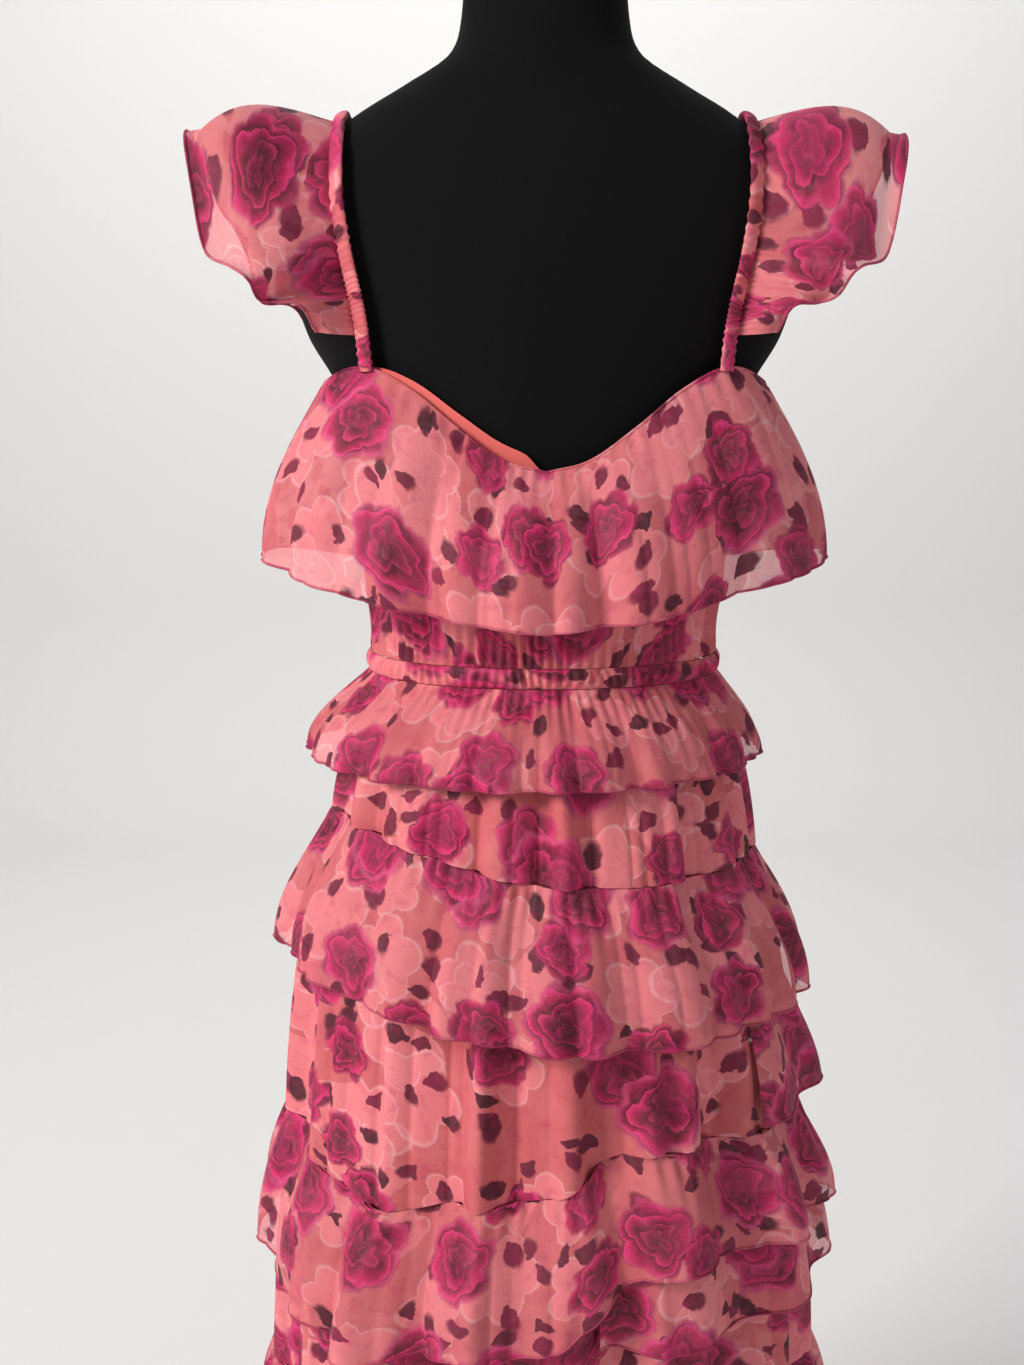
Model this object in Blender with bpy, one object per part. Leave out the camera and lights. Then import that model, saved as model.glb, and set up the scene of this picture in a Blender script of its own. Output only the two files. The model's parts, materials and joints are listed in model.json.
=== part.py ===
"""A tiered maxi dress standing on a black dress form.

Metres, +Z up. The origin is on the floor under the stand's pole. The back of the dress faces -Y,
the front faces +Y. An angle round the body is 0 at the centre back, 90 at the +X side, 180 at the
centre front. Every ring of cloth is a wall between an outer surface and the same surface moved
inwards along its normal, so the folds keep their thickness.
"""

import math

import bmesh
import bpy
from mathutils import Vector

# Driving dimensions
WALL = 0.0014  # cloth wall
SEAM = 0.0003  # gap between sewn pieces
SEWN = 0.0019  # from one cloth surface to the next one, at the seam that joins them
LAYER = 0.0032  # from one cloth surface to the next one inside it, away from a seam
FORM_EASE = 0.0055  # from the form to the outer face of the lining
WAIST_EASE = 0.0019  # the same where the elastic holds the lining to the form
RING_STEPS = 64  # angles sampled round a ring
FORM_STEPS = 36
HEM_HEIGHT = 0.06  # floor to the lowest hem
WAIST_TOP = 1.0300  # top of the elastic casing
WAIST_LOW = 1.0160  # bottom of the elastic casing
FORM_LOW = 0.800  # underside of the torso
FORM_TOP = 1.540  # flat top of the neck
POLE_RADIUS = 0.0140
BASE_RADIUS = 0.165
BASE_HEIGHT = 0.012
STRAP_HALF_WIDTH = 0.0060
STRAP_HALF_THICKNESS = 0.0022
SIDE_SEAM = 90.0  # angle of the side seams
BODY_POWER = 2.2  # squareness of the body's plan

# Torso sections: height, half width, depth to the back, depth to the front
FORM_SECTIONS = [
    (0.800, 0.128, 0.092, 0.084),
    (0.830, 0.141, 0.106, 0.096),
    (0.900, 0.144, 0.112, 0.100),
    (0.960, 0.132, 0.100, 0.094),
    (1.020, 0.113, 0.086, 0.086),
    (1.080, 0.121, 0.091, 0.098),
    (1.140, 0.135, 0.099, 0.118),
    (1.190, 0.143, 0.103, 0.132),
    (1.225, 0.152, 0.102, 0.126),
    (1.260, 0.172, 0.099, 0.112),
    (1.310, 0.186, 0.092, 0.094),
    (1.350, 0.186, 0.082, 0.080),
    (1.385, 0.168, 0.071, 0.067),
    (1.412, 0.136, 0.062, 0.058),
    (1.432, 0.102, 0.057, 0.055),
    (1.452, 0.070, 0.055, 0.054),
    (1.475, 0.060, 0.054, 0.054),
    (1.540, 0.056, 0.052, 0.052),
]

# Neckline: angle, height of the top edge (the back dips, the sides pass under the arms)
NECKLINE = [
    (0, 1.166), (15, 1.174), (30, 1.196), (45, 1.222), (58, 1.236), (75, 1.228), (90, 1.222),
    (110, 1.228), (130, 1.246), (150, 1.256), (165, 1.250), (180, 1.240),
]
# How far the coral lining stands above the neckline: angle, lift. It shows at the left back only.
LINING_LIFT = [
    (-180, -0.003), (-75, -0.003), (-62, -0.001), (-45, 0.005), (-20, 0.010), (-8, 0.009), (-2, 0.000),
    (4, -0.003), (180, -0.003),
]
# Flounce hem: angle, height
FLOUNCE_HEM = [(0, 1.062), (25, 1.070), (50, 1.086), (75, 1.102), (95, 1.104), (120, 1.092), (150, 1.078), (180, 1.072)]
# Flounce hem plan: angle, distance from the axis
FLOUNCE_REACH = [(0, 0.156), (25, 0.163), (50, 0.187), (72, 0.206), (90, 0.204), (110, 0.186), (140, 0.174), (180, 0.172)]

# Skirt panels: top height, bottom height, half width and back depth and front depth at the bottom
PANELS = [
    (1.0157, 0.8870, 0.160, 0.150, 0.142),
    (0.8867, 0.6850, 0.197, 0.184, 0.174),
    (0.6847, 0.4750, 0.214, 0.199, 0.190),
    (0.4747, 0.2650, 0.234, 0.217, 0.208),
    (0.2647, HEM_HEIGHT, 0.262, 0.240, 0.230),
]
PANEL_SHARES = (0.0, 0.35, 1.0)  # rows from a panel's top to its bottom
# Ruffles: drop of the cloth, how far the hem stands out from the seam
RUFFLES = [(0.062, 0.056), (0.103, 0.044), (0.100, 0.031), (0.098, 0.034), (0.098, 0.034)]
# Seams that rise and dip round the skirt: angle, lift of the second seam and of those below it
SEAM_LIFT = [(-180, 0.0), (-110, -0.006), (-70, -0.012), (-38, -0.034), (-20, -0.022), (0, -0.012), (18, 0.016), (45, 0.010), (80, 0.004), (180, 0.0)]
# The same for the first seam, which rises on the left of the back
UPPER_LIFT = [
    (-180, 0.004), (-110, 0.018), (-60, 0.028), (-25, 0.012), (0, 0.000), (60, -0.003), (110, 0.000), (180, 0.004),
]
# How far the waist ruffle's hem stands out: angle, distance
WAIST_SPREAD = [
    (-180, 0.050), (-120, 0.054), (-60, 0.046), (0, 0.048), (60, 0.034), (100, 0.036), (180, 0.050),
]
# Hem of the second ruffle: it is shorter on the right of the back, where a side ruffle follows it
SHORTENED = [(-180, 0.0), (0, 0.0), (20, 0.022), (60, 0.026), (100, 0.012), (135, 0.0), (180, 0.0)]

# Skirt folds: angle of the trough, half width in degrees, depth
FOLDS = [
    (-5, 9, 0.016), (15, 8, 0.020), (42, 11, 0.022), (66, 9, 0.012), (88, 10, 0.016), (112, 10, 0.018),
    (136, 10, 0.014), (158, 9, 0.018), (180, 9, 0.013), (-160, 9, 0.017), (-138, 10, 0.013), (-114, 10, 0.018),
    (-92, 9, 0.014), (-68, 10, 0.017), (-47, 8, 0.009), (-26, 12, 0.022),
]
# Ruffle waves ride on the folds: waves round a ring, depth at the hem, phase
RUFFLE_WAVES = [(14, 0.0050, 10), (12, 0.0070, 35), (12, 0.0065, 80), (11, 0.0070, 15), (11, 0.0070, 60)]
BODICE_GATHERS = 18
CASING_GATHERS = 24
BODICE_SHARES = (0.0, 0.14, 0.30, 0.50, 0.75, 1.0)  # rows from the neckline to the waist
FLOUNCE_SHARES = (0.0, 0.18, 0.55, 1.0)

# Short extra ruffles on the +X side: top height, bottom height, first angle, last angle, stand-out, seam above
SIDE_RUFFLES = [
    ("side_ruffle_upper", 0.772, 0.704, 52, 118, 0.016),
    ("side_ruffle_lower", 0.655, 0.566, 12, 112, 0.014),
]

# Strap: station from back to front, x, angle over the shoulder (0 points back, 90 up, 180 front)
STRAP_ROUTE = [(0.0, 0.124, -17), (0.16, 0.130, 8), (0.33, 0.137, 36), (0.50, 0.140, 84), (0.67, 0.138, 130), (0.84, 0.130, 162), (1.0, 0.118, 186)]
STRAP_HUB_HEIGHT = 1.268
STRAP_STATIONS = 19
# Flutter: station along the strap, width, outward, backward and upward parts of its direction
FLUTTER = [
    (0.00, 0.018, 0.80, 0.30, 0.10),
    (0.15, 0.038, 0.88, 0.40, 0.00),
    (0.30, 0.072, 0.92, 0.45, -0.24),
    (0.42, 0.094, 0.96, 0.22, -0.26),
    (0.52, 0.099, 0.96, 0.00, -0.22),
    (0.64, 0.093, 0.95, -0.22, -0.34),
    (0.80, 0.073, 0.92, -0.36, -0.22),
    (0.92, 0.044, 0.92, -0.34, -0.02),
    (1.00, 0.022, 0.85, -0.38, 0.08),
]
FLUTTER_STATIONS = 31
FLUTTER_WAVES = 6.0
FLUTTER_WAVE_DEPTH = 0.013


def clear_scene():
    for item in list(bpy.data.objects):
        bpy.data.objects.remove(item)


def material(name, colour, roughness, metallic=0.0):
    made = bpy.data.materials.new(name)
    made.use_nodes = True
    shader = made.node_tree.nodes["Principled BSDF"]
    shader.inputs["Base Color"].default_value = (*colour, 1.0)
    shader.inputs["Roughness"].default_value = roughness
    shader.inputs["Metallic"].default_value = metallic
    return made


def eased(rows, at, column=1):
    """A value from a table whose first column rises, read along a smooth curve through its rows."""
    if at <= rows[0][0]:
        return rows[0][column]
    if at >= rows[-1][0]:
        return rows[-1][column]
    index = next(k for k in range(1, len(rows)) if at <= rows[k][0])
    low, high = rows[index - 1], rows[index]
    before, after = rows[max(index - 2, 0)], rows[min(index + 1, len(rows) - 1)]
    span = high[0] - low[0]
    share = (at - low[0]) / span
    start = (high[column] - before[column]) / (high[0] - before[0]) * span
    end = (after[column] - low[column]) / (after[0] - low[0]) * span
    square, cube = share * share, share**3
    return (
        (2 * cube - 3 * square + 1) * low[column]
        + (cube - 2 * square + share) * start
        + (3 * square - 2 * cube) * high[column]
        + (cube - square) * end
    )


def wrapped(angle):
    """The same angle between -180 and 180."""
    return (angle + 180.0) % 360.0 - 180.0


def direction(angle):
    turn = math.radians(angle)
    return Vector((math.sin(turn), -math.cos(turn), 0.0))


def plan(angle, half_width, back, front):
    """Distance from the axis to a rounded plan of those sizes."""
    turn = math.radians(angle)
    depth = back if math.cos(turn) >= 0 else front
    across = abs(math.sin(turn) / half_width) ** BODY_POWER
    along = abs(math.cos(turn) / depth) ** BODY_POWER
    return (across + along) ** (-1 / BODY_POWER)


def section_at(height):
    """Smooth values of the torso's three sizes at a height."""
    rows = FORM_SECTIONS
    height = min(max(height, rows[0][0]), rows[-1][0])
    index = next(i for i in range(1, len(rows)) if height <= rows[i][0])
    low, high = rows[index - 1], rows[index]
    before = rows[max(index - 2, 0)]
    after = rows[min(index + 1, len(rows) - 1)]
    span = high[0] - low[0]
    share = (height - low[0]) / span
    sizes = []
    for column in (1, 2, 3):
        start = (high[column] - before[column]) / max(high[0] - before[0], 1e-6) * span
        end = (after[column] - low[column]) / max(after[0] - low[0], 1e-6) * span
        square, cube = share * share, share**3
        sizes.append(
            (2 * cube - 3 * square + 1) * low[column]
            + (cube - 2 * square + share) * start
            + (3 * square - 2 * cube) * high[column]
            + (cube - square) * end
        )
    return sizes


def layer_below(depth):
    """Distance between two layers of cloth, that far below the seam that joins them."""
    return SEWN + (LAYER - SEWN) * min(max(depth / 0.018, 0.0), 1.0)


def form_radius(angle, height):
    return plan(angle, *section_at(height))


def trough(angle, centre, half_width):
    """1 at a fold's centre, falling smoothly to 0 at its edges."""
    away = abs(wrapped(angle - centre)) / half_width
    return 0.0 if away >= 1 else (0.5 + 0.5 * math.cos(math.pi * away)) ** 0.8


def fold_depth(angle):
    return sum(depth * trough(angle, centre, half) for centre, half, depth in FOLDS)


def wave(angle, count, phase):
    """Rounded crests with narrower troughs between them, from 0 to -1."""
    return -((0.5 - 0.5 * math.cos(math.radians(count * (angle - phase)))) ** 2)


def seam_lift(index, angle):
    """How far the bottom seam of a panel is raised or lowered at an angle."""
    if index == len(PANELS) - 1:
        return 0.0
    return eased(SEAM_LIFT if index else UPPER_LIFT, wrapped(angle))


def panel_low(index, angle):
    return PANELS[index][1] + seam_lift(index, angle)


def panel_high(index, angle):
    return PANELS[index][0] + (seam_lift(index - 1, angle) if index else 0.0)


def casing_radius(angle):
    body = form_radius(angle, WAIST_LOW) + FORM_EASE + 2 * LAYER + 0.0045
    return body + 0.0012 * wave(angle, CASING_GATHERS, 0)


def panel_bottom_radius(index, angle):
    _, _, half_width, back, front = PANELS[index]
    share = (0.30, 0.85, 1.0, 1.1, 1.2)[index]
    return plan(angle, half_width, back, front) - share * fold_depth(angle)


def panel_radius(index, angle, height):
    """Outer surface of a skirt panel: it hangs from the seam above to the seam below."""
    high, low = panel_high(index, angle), panel_low(index, angle)
    share = min(max((high - height) / (high - low), 0.0), 1.0)
    middle = PANEL_SHARES[1]
    fullness = math.sin(middle * math.pi / 2) ** 0.9
    if share < middle:
        share = fullness * share / middle
    else:
        share = fullness + (1 - fullness) * (share - middle) / (1 - middle)
    start = (panel_bottom_radius(index - 1, angle) if index else casing_radius(angle)) - SEWN
    return start + (panel_bottom_radius(index, angle) - start) * share


def ruffle_high(index, angle):
    return (WAIST_LOW if index == 0 else panel_low(index - 1, angle)) - 2 * SEAM


def ruffle_low(index, angle):
    drop = RUFFLES[index][0]
    top = WAIST_LOW - SEAM if index == 0 else panel_low(index - 1, angle)
    if index == 2:
        drop -= eased(SHORTENED, wrapped(angle))
    return top - drop


def ruffle_radius(index, angle, height):
    """Outer surface of a ruffle: it springs out from its seam and hangs over the panel below."""
    high = WAIST_LOW if index == 0 else panel_low(index - 1, angle)
    low = ruffle_low(index, angle)
    share = min(max((high - height) / (high - low), 0.0), 1.0)
    root = casing_radius(angle) if index == 0 else panel_bottom_radius(index - 1, angle)
    count, depth, phase = RUFFLE_WAVES[index]
    spread = math.sin(share * math.pi / 2) ** 1.15
    out = RUFFLES[index][1] if index else eased(WAIST_SPREAD, wrapped(angle))
    reach = root + out * spread + depth * share * wave(angle, count, phase)
    return max(reach, panel_radius(index, angle, height) + layer_below(high - height) + 0.009 * share)


def lining_radius(angle, height):
    """The plain slip under the sheer cloth: close on the torso, free below the hips."""
    if height >= 0.90:
        away = min(abs(height - WAIST_TOP) / 0.035, 1.0)
        return form_radius(angle, height) + WAIST_EASE + (FORM_EASE - WAIST_EASE) * away
    free = plan(angle, 0.152, 0.122, 0.112) + FORM_EASE
    start = form_radius(angle, 0.90) + FORM_EASE
    share = min((0.90 - height) / 0.12, 1.0)
    return start + (free - start) * share


def neckline(angle):
    return eased(NECKLINE, abs(wrapped(angle)))


def flounce_low(angle):
    return eased(FLOUNCE_HEM, abs(wrapped(angle)))


def bodice_radius(angle, height):
    """Outer shell of the bodice, full of gathers where it runs into the elastic casing."""
    share = min(max((height - WAIST_TOP) / 0.10, 0.0), 1.0)
    start = casing_radius(angle)
    full = lining_radius(angle, height) + layer_below(neckline(angle) - height) + 0.0008 + 0.010 * math.sin(math.pi * share) ** 2 * (1 - share)
    low = start + (full - start) * share
    gathers = 0.0026 * math.sin(math.pi * share)
    return low + gathers * (0.6 + wave(angle, BODICE_GATHERS, 6))


def flounce_radius(angle, height):
    """The wide flounce: seamed to the bodice at the neckline and flaring to its hem."""
    high = neckline(angle)
    low = flounce_low(angle)
    share = min(max((high - height) / (high - low), 0.0), 1.0)
    start = bodice_radius(angle, high) + SEWN
    reach = eased(FLOUNCE_REACH, abs(wrapped(angle)))
    swell = 0.008 * trough(angle, -28, 16) + 0.009 * trough(angle, 12, 12) + 0.012 * trough(angle, 46, 14)
    swell += 0.010 * trough(angle, 150, 16) + 0.010 * trough(angle, -140, 16) + 0.008 * trough(angle, 176, 12)
    radius = start + (reach - start) * math.sin(share * math.pi / 2) ** 0.95 - swell * share
    return max(radius, bodice_radius(angle, height) + layer_below(high - height))


def join_mesh(name, points, faces, look, smooth_angle=50.0):
    """One object from points and faces, with its normals pointing out."""
    mesh = bpy.data.meshes.new(name)
    mesh.from_pydata(points, [], faces)
    build = bmesh.new()
    build.from_mesh(mesh)
    bmesh.ops.recalc_face_normals(build, faces=build.faces)
    if build.calc_volume(signed=True) < 0:
        bmesh.ops.reverse_faces(build, faces=build.faces)
    build.to_mesh(mesh)
    build.free()
    mesh.shade_smooth()
    mesh.set_sharp_from_angle(angle=math.radians(smooth_angle))
    made = bpy.data.objects.new(name, mesh)
    bpy.context.scene.collection.objects.link(made)
    made.data.materials.append(look)
    return made


def sheet_wall(name, outer, inner, closed, look):
    """A wall between two equal grids of points, rows by columns, closed round its columns or not."""
    rows, columns = len(outer), len(outer[0])
    points = [p for row in outer for p in row] + [p for row in inner for p in row]
    shift = rows * columns
    faces = []
    last = columns if closed else columns - 1
    for r in range(rows - 1):
        for c in range(last):
            n = (c + 1) % columns
            a, b, d, e = r * columns + c, r * columns + n, (r + 1) * columns + n, (r + 1) * columns + c
            faces.extend([(a, b, d), (a, d, e)])
            faces.extend([(shift + d, shift + b, shift + a), (shift + e, shift + d, shift + a)])
    for r, flip in ((0, False), (rows - 1, True)):
        for c in range(last):
            n = (c + 1) % columns
            a, b = r * columns + c, r * columns + n
            face = (a, shift + a, shift + b, b)
            faces.append(face[::-1] if flip else face)
    if not closed:
        for c, flip in ((0, True), (columns - 1, False)):
            for r in range(rows - 1):
                a, b = r * columns + c, (r + 1) * columns + c
                face = (a, shift + a, shift + b, b)
                faces.append(face[::-1] if flip else face)
    return join_mesh(name, points, faces, look)


def surface_point(radius, angle, height):
    return direction(angle) * radius(angle, height) + Vector((0, 0, height))


def outward_normal(radius, angle, height):
    """Normal of a surface given as a distance from the axis, by small steps either side."""
    turn, rise = 1.2, 0.002
    around = surface_point(radius, angle + turn, height) - surface_point(radius, angle - turn, height)
    up = surface_point(radius, angle, height + rise) - surface_point(radius, angle, height - rise)
    return around.cross(up).normalized()


def between(high, low, shares):
    """Row heights of a ring from high(angle) down to low(angle), at the given shares."""
    return lambda angle: [high(angle) + (low(angle) - high(angle)) * share for share in shares]


def cloth_ring(name, radius, rows, look, first=-180.0, last=180.0, steps=RING_STEPS):
    """A ring or an arc of cloth with its rows at the heights that rows(angle) gives."""
    closed = last - first >= 360.0
    step = 360.0 / steps
    count = steps if closed else int(round((last - first) / step)) + 1
    angles = [first + step * k for k in range(count)]
    if not closed:
        angles[0] += 0.07
        angles[-1] -= 0.07
    heights = [rows(angle) for angle in angles]
    count = len(heights[0])
    outer, inner = [], []
    for index in range(count):
        outer_row, inner_row = [], []
        for angle, column in zip(angles, heights):
            height = column[index]
            probe = min(max(height, column[-1] + 0.0021), column[0] - 0.0021)
            point = surface_point(radius, angle, height)
            normal = outward_normal(radius, angle, probe)
            if index in (0, count - 1):
                normal = Vector((normal.x, normal.y, 0.0)).normalized()
            outer_row.append(point)
            inner_row.append(point - normal * WALL)
        outer.append(outer_row)
        inner.append(inner_row)
    return sheet_wall(name, outer, inner, closed, look)


def front_and_back(name, radius, rows, look):
    """The back and front pieces of a tube, with a seam gap at each side."""
    cloth_ring(name + "_back", radius, rows, look, -SIDE_SEAM, SIDE_SEAM)
    cloth_ring(name + "_front", radius, rows, look, SIDE_SEAM, 360 - SIDE_SEAM)


def make_form(look):
    heights = [0.800, 0.830, 0.865, 0.900, 0.940, 0.985, WAIST_TOP, 1.065, 1.100, 1.140, 1.175, 1.205]
    heights += [1.235, 1.265, 1.300, 1.340, 1.370, 1.395, 1.415, 1.434, 1.455, 1.540]
    points, faces = [], []
    for height in heights:
        for k in range(FORM_STEPS):
            points.append(surface_point(form_radius, k * 360.0 / FORM_STEPS, height))
    for r in range(len(heights) - 1):
        for k in range(FORM_STEPS):
            n = (k + 1) % FORM_STEPS
            faces.append((r * FORM_STEPS + k, r * FORM_STEPS + n, (r + 1) * FORM_STEPS + n, (r + 1) * FORM_STEPS + k))
    faces.append(tuple(range(FORM_STEPS)))
    top = (len(heights) - 1) * FORM_STEPS
    faces.append(tuple(top + k for k in range(FORM_STEPS)))
    join_mesh("form_torso", points, faces, look, 40.0)


def turned(name, profile, look, sides=32):
    """A solid turned about the pole's axis from (radius, height) pairs, bottom to top."""
    points, faces = [], []
    for radius, height in profile:
        for k in range(sides):
            points.append(direction(k * 360.0 / sides) * radius + Vector((0, 0, height)))
    for r in range(len(profile) - 1):
        for k in range(sides):
            n = (k + 1) % sides
            faces.append((r * sides + k, r * sides + n, (r + 1) * sides + n, (r + 1) * sides + k))
    faces.append(tuple(range(sides)))
    faces.append(tuple((len(profile) - 1) * sides + k for k in range(sides)))
    join_mesh(name, points, faces, look, 40.0)


def make_stand(metal):
    rim = 0.003
    base_profile = [(BASE_RADIUS, 0.0), (BASE_RADIUS, BASE_HEIGHT - rim), (BASE_RADIUS - rim, BASE_HEIGHT)]
    turned("stand_base", base_profile, metal, 40)
    foot = BASE_HEIGHT + SEAM
    turned("stand_pole", [(0.030, foot), (0.030, foot + 0.010), (POLE_RADIUS, foot + 0.022), (POLE_RADIUS, 0.770),
                          (0.026, 0.776), (0.026, FORM_LOW - SEAM)], metal, 20)


def inside_form(point):
    angle = math.degrees(math.atan2(point.x, -point.y))
    return math.hypot(point.x, point.y) < form_radius(angle, point.z) and FORM_LOW < point.z < FORM_TOP


def strap_centre(side, station):
    """A point on the form's shoulder under the strap, with the way out of the form there."""
    x = side * eased(STRAP_ROUTE, station, 1)
    turn = math.radians(eased(STRAP_ROUTE, station, 2))
    way = Vector((0.0, -math.cos(turn), math.sin(turn)))
    hub = Vector((x * 0.80, 0.0, STRAP_HUB_HEIGHT))
    target = Vector((x - hub.x, 0.0, 0.0)) / 0.10
    low, high = 0.0, 0.30
    for _ in range(40):
        middle = (low + high) / 2
        if inside_form(hub + way * middle + target * min(middle, 0.10)):
            low = middle
        else:
            high = middle
    return hub + way * low + target * min(low, 0.10)


def strap_frames(side, count):
    """Centres of the strap with its along, across (outwards) and off-the-form directions."""
    raw = [strap_centre(side, k / (count - 1)) for k in range(count)]
    centres = []
    for k, point in enumerate(raw):
        before, after = raw[max(k - 1, 0)], raw[min(k + 1, count - 1)]
        centres.append((before + point * 6 + after) / 8 if 0 < k < count - 1 else point)
    frames = []
    for k, point in enumerate(centres):
        along = (centres[min(k + 1, count - 1)] - centres[max(k - 1, 0)]).normalized()
        away = point - Vector((point.x * 0.55, 0.0, 1.30))
        across = along.cross(away).normalized()
        if across.x * side < 0:
            across = -across
        lift = across.cross(along)
        if lift.dot(away) < 0:
            lift = -lift
        frames.append((point + lift * (STRAP_HALF_THICKNESS + 0.0078), along, across, lift))
    return frames


def make_strap(name, side, look):
    """A narrow gathered tube over the shoulder, from the back of the bodice to its front."""
    frames = strap_frames(side, STRAP_STATIONS)
    ring = 6
    points, faces = [], []
    for k, (centre, _, across, lift) in enumerate(frames):
        pucker = 1.0 + 0.10 * (-1) ** k
        for j in range(ring):
            turn = 2 * math.pi * j / ring
            offset = across * math.cos(turn) * STRAP_HALF_WIDTH + lift * math.sin(turn) * STRAP_HALF_THICKNESS * pucker
            point = centre + offset
            if k in (0, len(frames) - 1):
                point.z = neckline(math.degrees(math.atan2(point.x, -point.y))) + 0.0006
            points.append(point)
    for k in range(len(frames) - 1):
        for j in range(ring):
            n = (j + 1) % ring
            faces.append((k * ring + j, k * ring + n, (k + 1) * ring + n, (k + 1) * ring + j))
    faces.append(tuple(range(ring)))
    faces.append(tuple((len(frames) - 1) * ring + j for j in range(ring)))
    join_mesh(name, points, faces, look, 60.0)


def kept_clear(point, margin):
    """The point moved outwards until it is that far from the form and above the bodice."""
    angle = math.degrees(math.atan2(point.x, -point.y))
    reach = math.hypot(point.x, point.y)
    least = form_radius(angle, point.z) + margin
    if point.z < 1.40 and reach < least:
        point = Vector((point.x * least / reach, point.y * least / reach, point.z))
    lowest = neckline(angle) + 0.010
    return Vector((point.x, point.y, max(point.z, lowest)))


def make_flutter(name, side, look):
    """The ruffle on the strap's outer edge: a sheet that stands out over the shoulder in waves."""
    frames = strap_frames(side, FLUTTER_STATIONS)
    rows = [0.0, 0.33, 0.67, 1.0]
    grid = []
    for share in rows:
        row = []
        for k, (centre, along, across, lift) in list(enumerate(frames))[2:-2]:
            station = k / (FLUTTER_STATIONS - 1)
            width = eased(FLUTTER, station, 1)
            out, back, up = (eased(FLUTTER, station, column) for column in (2, 3, 4))
            way = Vector((side * out, -back, up)).normalized()
            root = centre + across * (STRAP_HALF_WIDTH + 0.0012)
            ripple = math.sin(2 * math.pi * (FLUTTER_WAVES * station + (0.40 if side > 0 else 0.39)))
            swing = way.cross(along).normalized()
            if swing.z < 0:
                swing = -swing
            arch = 0.018 * math.sin(math.pi * min(share * 1.1, 1.0)) * math.sin(math.pi * station)
            point = root + way * (width * share) + lift * arch
            point += swing * (FLUTTER_WAVE_DEPTH * ripple * share * math.sin(math.pi * station))
            row.append(kept_clear(point, 0.004 + 0.014 * share))
        grid.append(row)
    outer, inner = [], []
    for r, row in enumerate(grid):
        outer_row, inner_row = [], []
        for c, point in enumerate(row):
            along = row[min(c + 1, len(row) - 1)] - row[max(c - 1, 0)]
            across = grid[min(r + 1, len(grid) - 1)][c] - grid[max(r - 1, 0)][c]
            normal = along.cross(across).normalized()
            outer_row.append(point + normal * (WALL / 2))
            inner_row.append(point - normal * (WALL / 2))
        outer.append(outer_row)
        inner.append(inner_row)
    sheet_wall(name, outer, inner, False, look)


def make_skirt(cloth):
    for index in range(len(PANELS)):
        front_and_back(
            f"skirt_panel_{index + 1}",
            lambda angle, height, i=index: panel_radius(i, angle, height),
            between(lambda angle, i=index: panel_high(i, angle) - SEAM, lambda angle, i=index: panel_low(i, angle), PANEL_SHARES),
            cloth,
        )
    names = ["waist_ruffle", "ruffle_1", "ruffle_2", "ruffle_3", "ruffle_4"]
    for index, name in enumerate(names):
        shares = (0.0, 0.30, 0.65, 1.0) if index in (0, 1) else (0.0, 0.40, 1.0)
        cloth_ring(
            name,
            lambda angle, height, i=index: ruffle_radius(i, angle, height),
            between(lambda angle, i=index: ruffle_high(i, angle), lambda angle, i=index: ruffle_low(i, angle), shares),
            cloth,
        )


def side_ruffle_radius(angle, height, row):
    _, high, low, first, last, reach = row
    share = min(max((high - height) / (high - low), 0.0), 1.0)
    index = 1 if high > 0.70 else 2
    panel = panel_radius(index, angle, height)
    middle, half = (first + last) / 2, (last - first) / 2
    fade = 0.25 + 0.75 * max(0.0, 1 - abs(angle - middle) / half) ** 0.5
    waves = 0.0035 * (1 + wave(angle, 18, 20)) * share
    return panel + SEWN + 0.0005 + (reach * math.sin(share * math.pi / 2) + waves) * fade


def make_side_ruffles(cloth):
    for row in SIDE_RUFFLES:
        name, high, low, first, last, _ = row
        step = 360.0 / RING_STEPS
        first, last = step * round(first / step), step * round(last / step)
        cloth_ring(
            name,
            lambda angle, height, r=row: side_ruffle_radius(angle, height, r),
            lambda angle, top=high, bottom=low: [top, (top + bottom) / 2, bottom],
            cloth,
            first,
            last,
        )


def lining_rows(angle):
    """The lining's rows follow the bodice's down to the waist, then go on to the knee."""
    top = neckline(angle)
    lifted = top + eased(LINING_LIFT, wrapped(angle))
    upper = [top + (WAIST_TOP - top) * share for share in BODICE_SHARES[1:]]
    return [lifted] + upper + [0.965, 0.90, 0.78, 0.52]


def make_bodice(cloth, coral):
    front_and_back("lining", lining_radius, lining_rows, coral)
    front_and_back("bodice", bodice_radius, between(neckline, lambda angle: WAIST_TOP + SEAM, BODICE_SHARES), cloth)
    front_and_back("flounce", flounce_radius, between(neckline, flounce_low, FLOUNCE_SHARES), cloth)
    cloth_ring(
        "waist_casing",
        lambda angle, height: casing_radius(angle),
        lambda angle: [WAIST_TOP, WAIST_LOW],
        cloth,
    )


def main():
    clear_scene()
    jersey = material("black_jersey", (0.012, 0.012, 0.013), 0.9)
    metal = material("black_metal", (0.03, 0.03, 0.03), 0.4, 0.8)
    cloth = material("rose_print_chiffon", (0.72, 0.26, 0.32), 0.6)
    coral = material("coral_lining", (0.80, 0.28, 0.26), 0.45)
    make_form(jersey)
    make_stand(metal)
    make_bodice(cloth, coral)
    make_skirt(cloth)
    make_side_ruffles(cloth)
    for side, word in ((-1, "left"), (1, "right")):
        make_strap("strap_" + word, side, cloth)
        make_flutter("flutter_" + word, side, cloth)


main()
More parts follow.
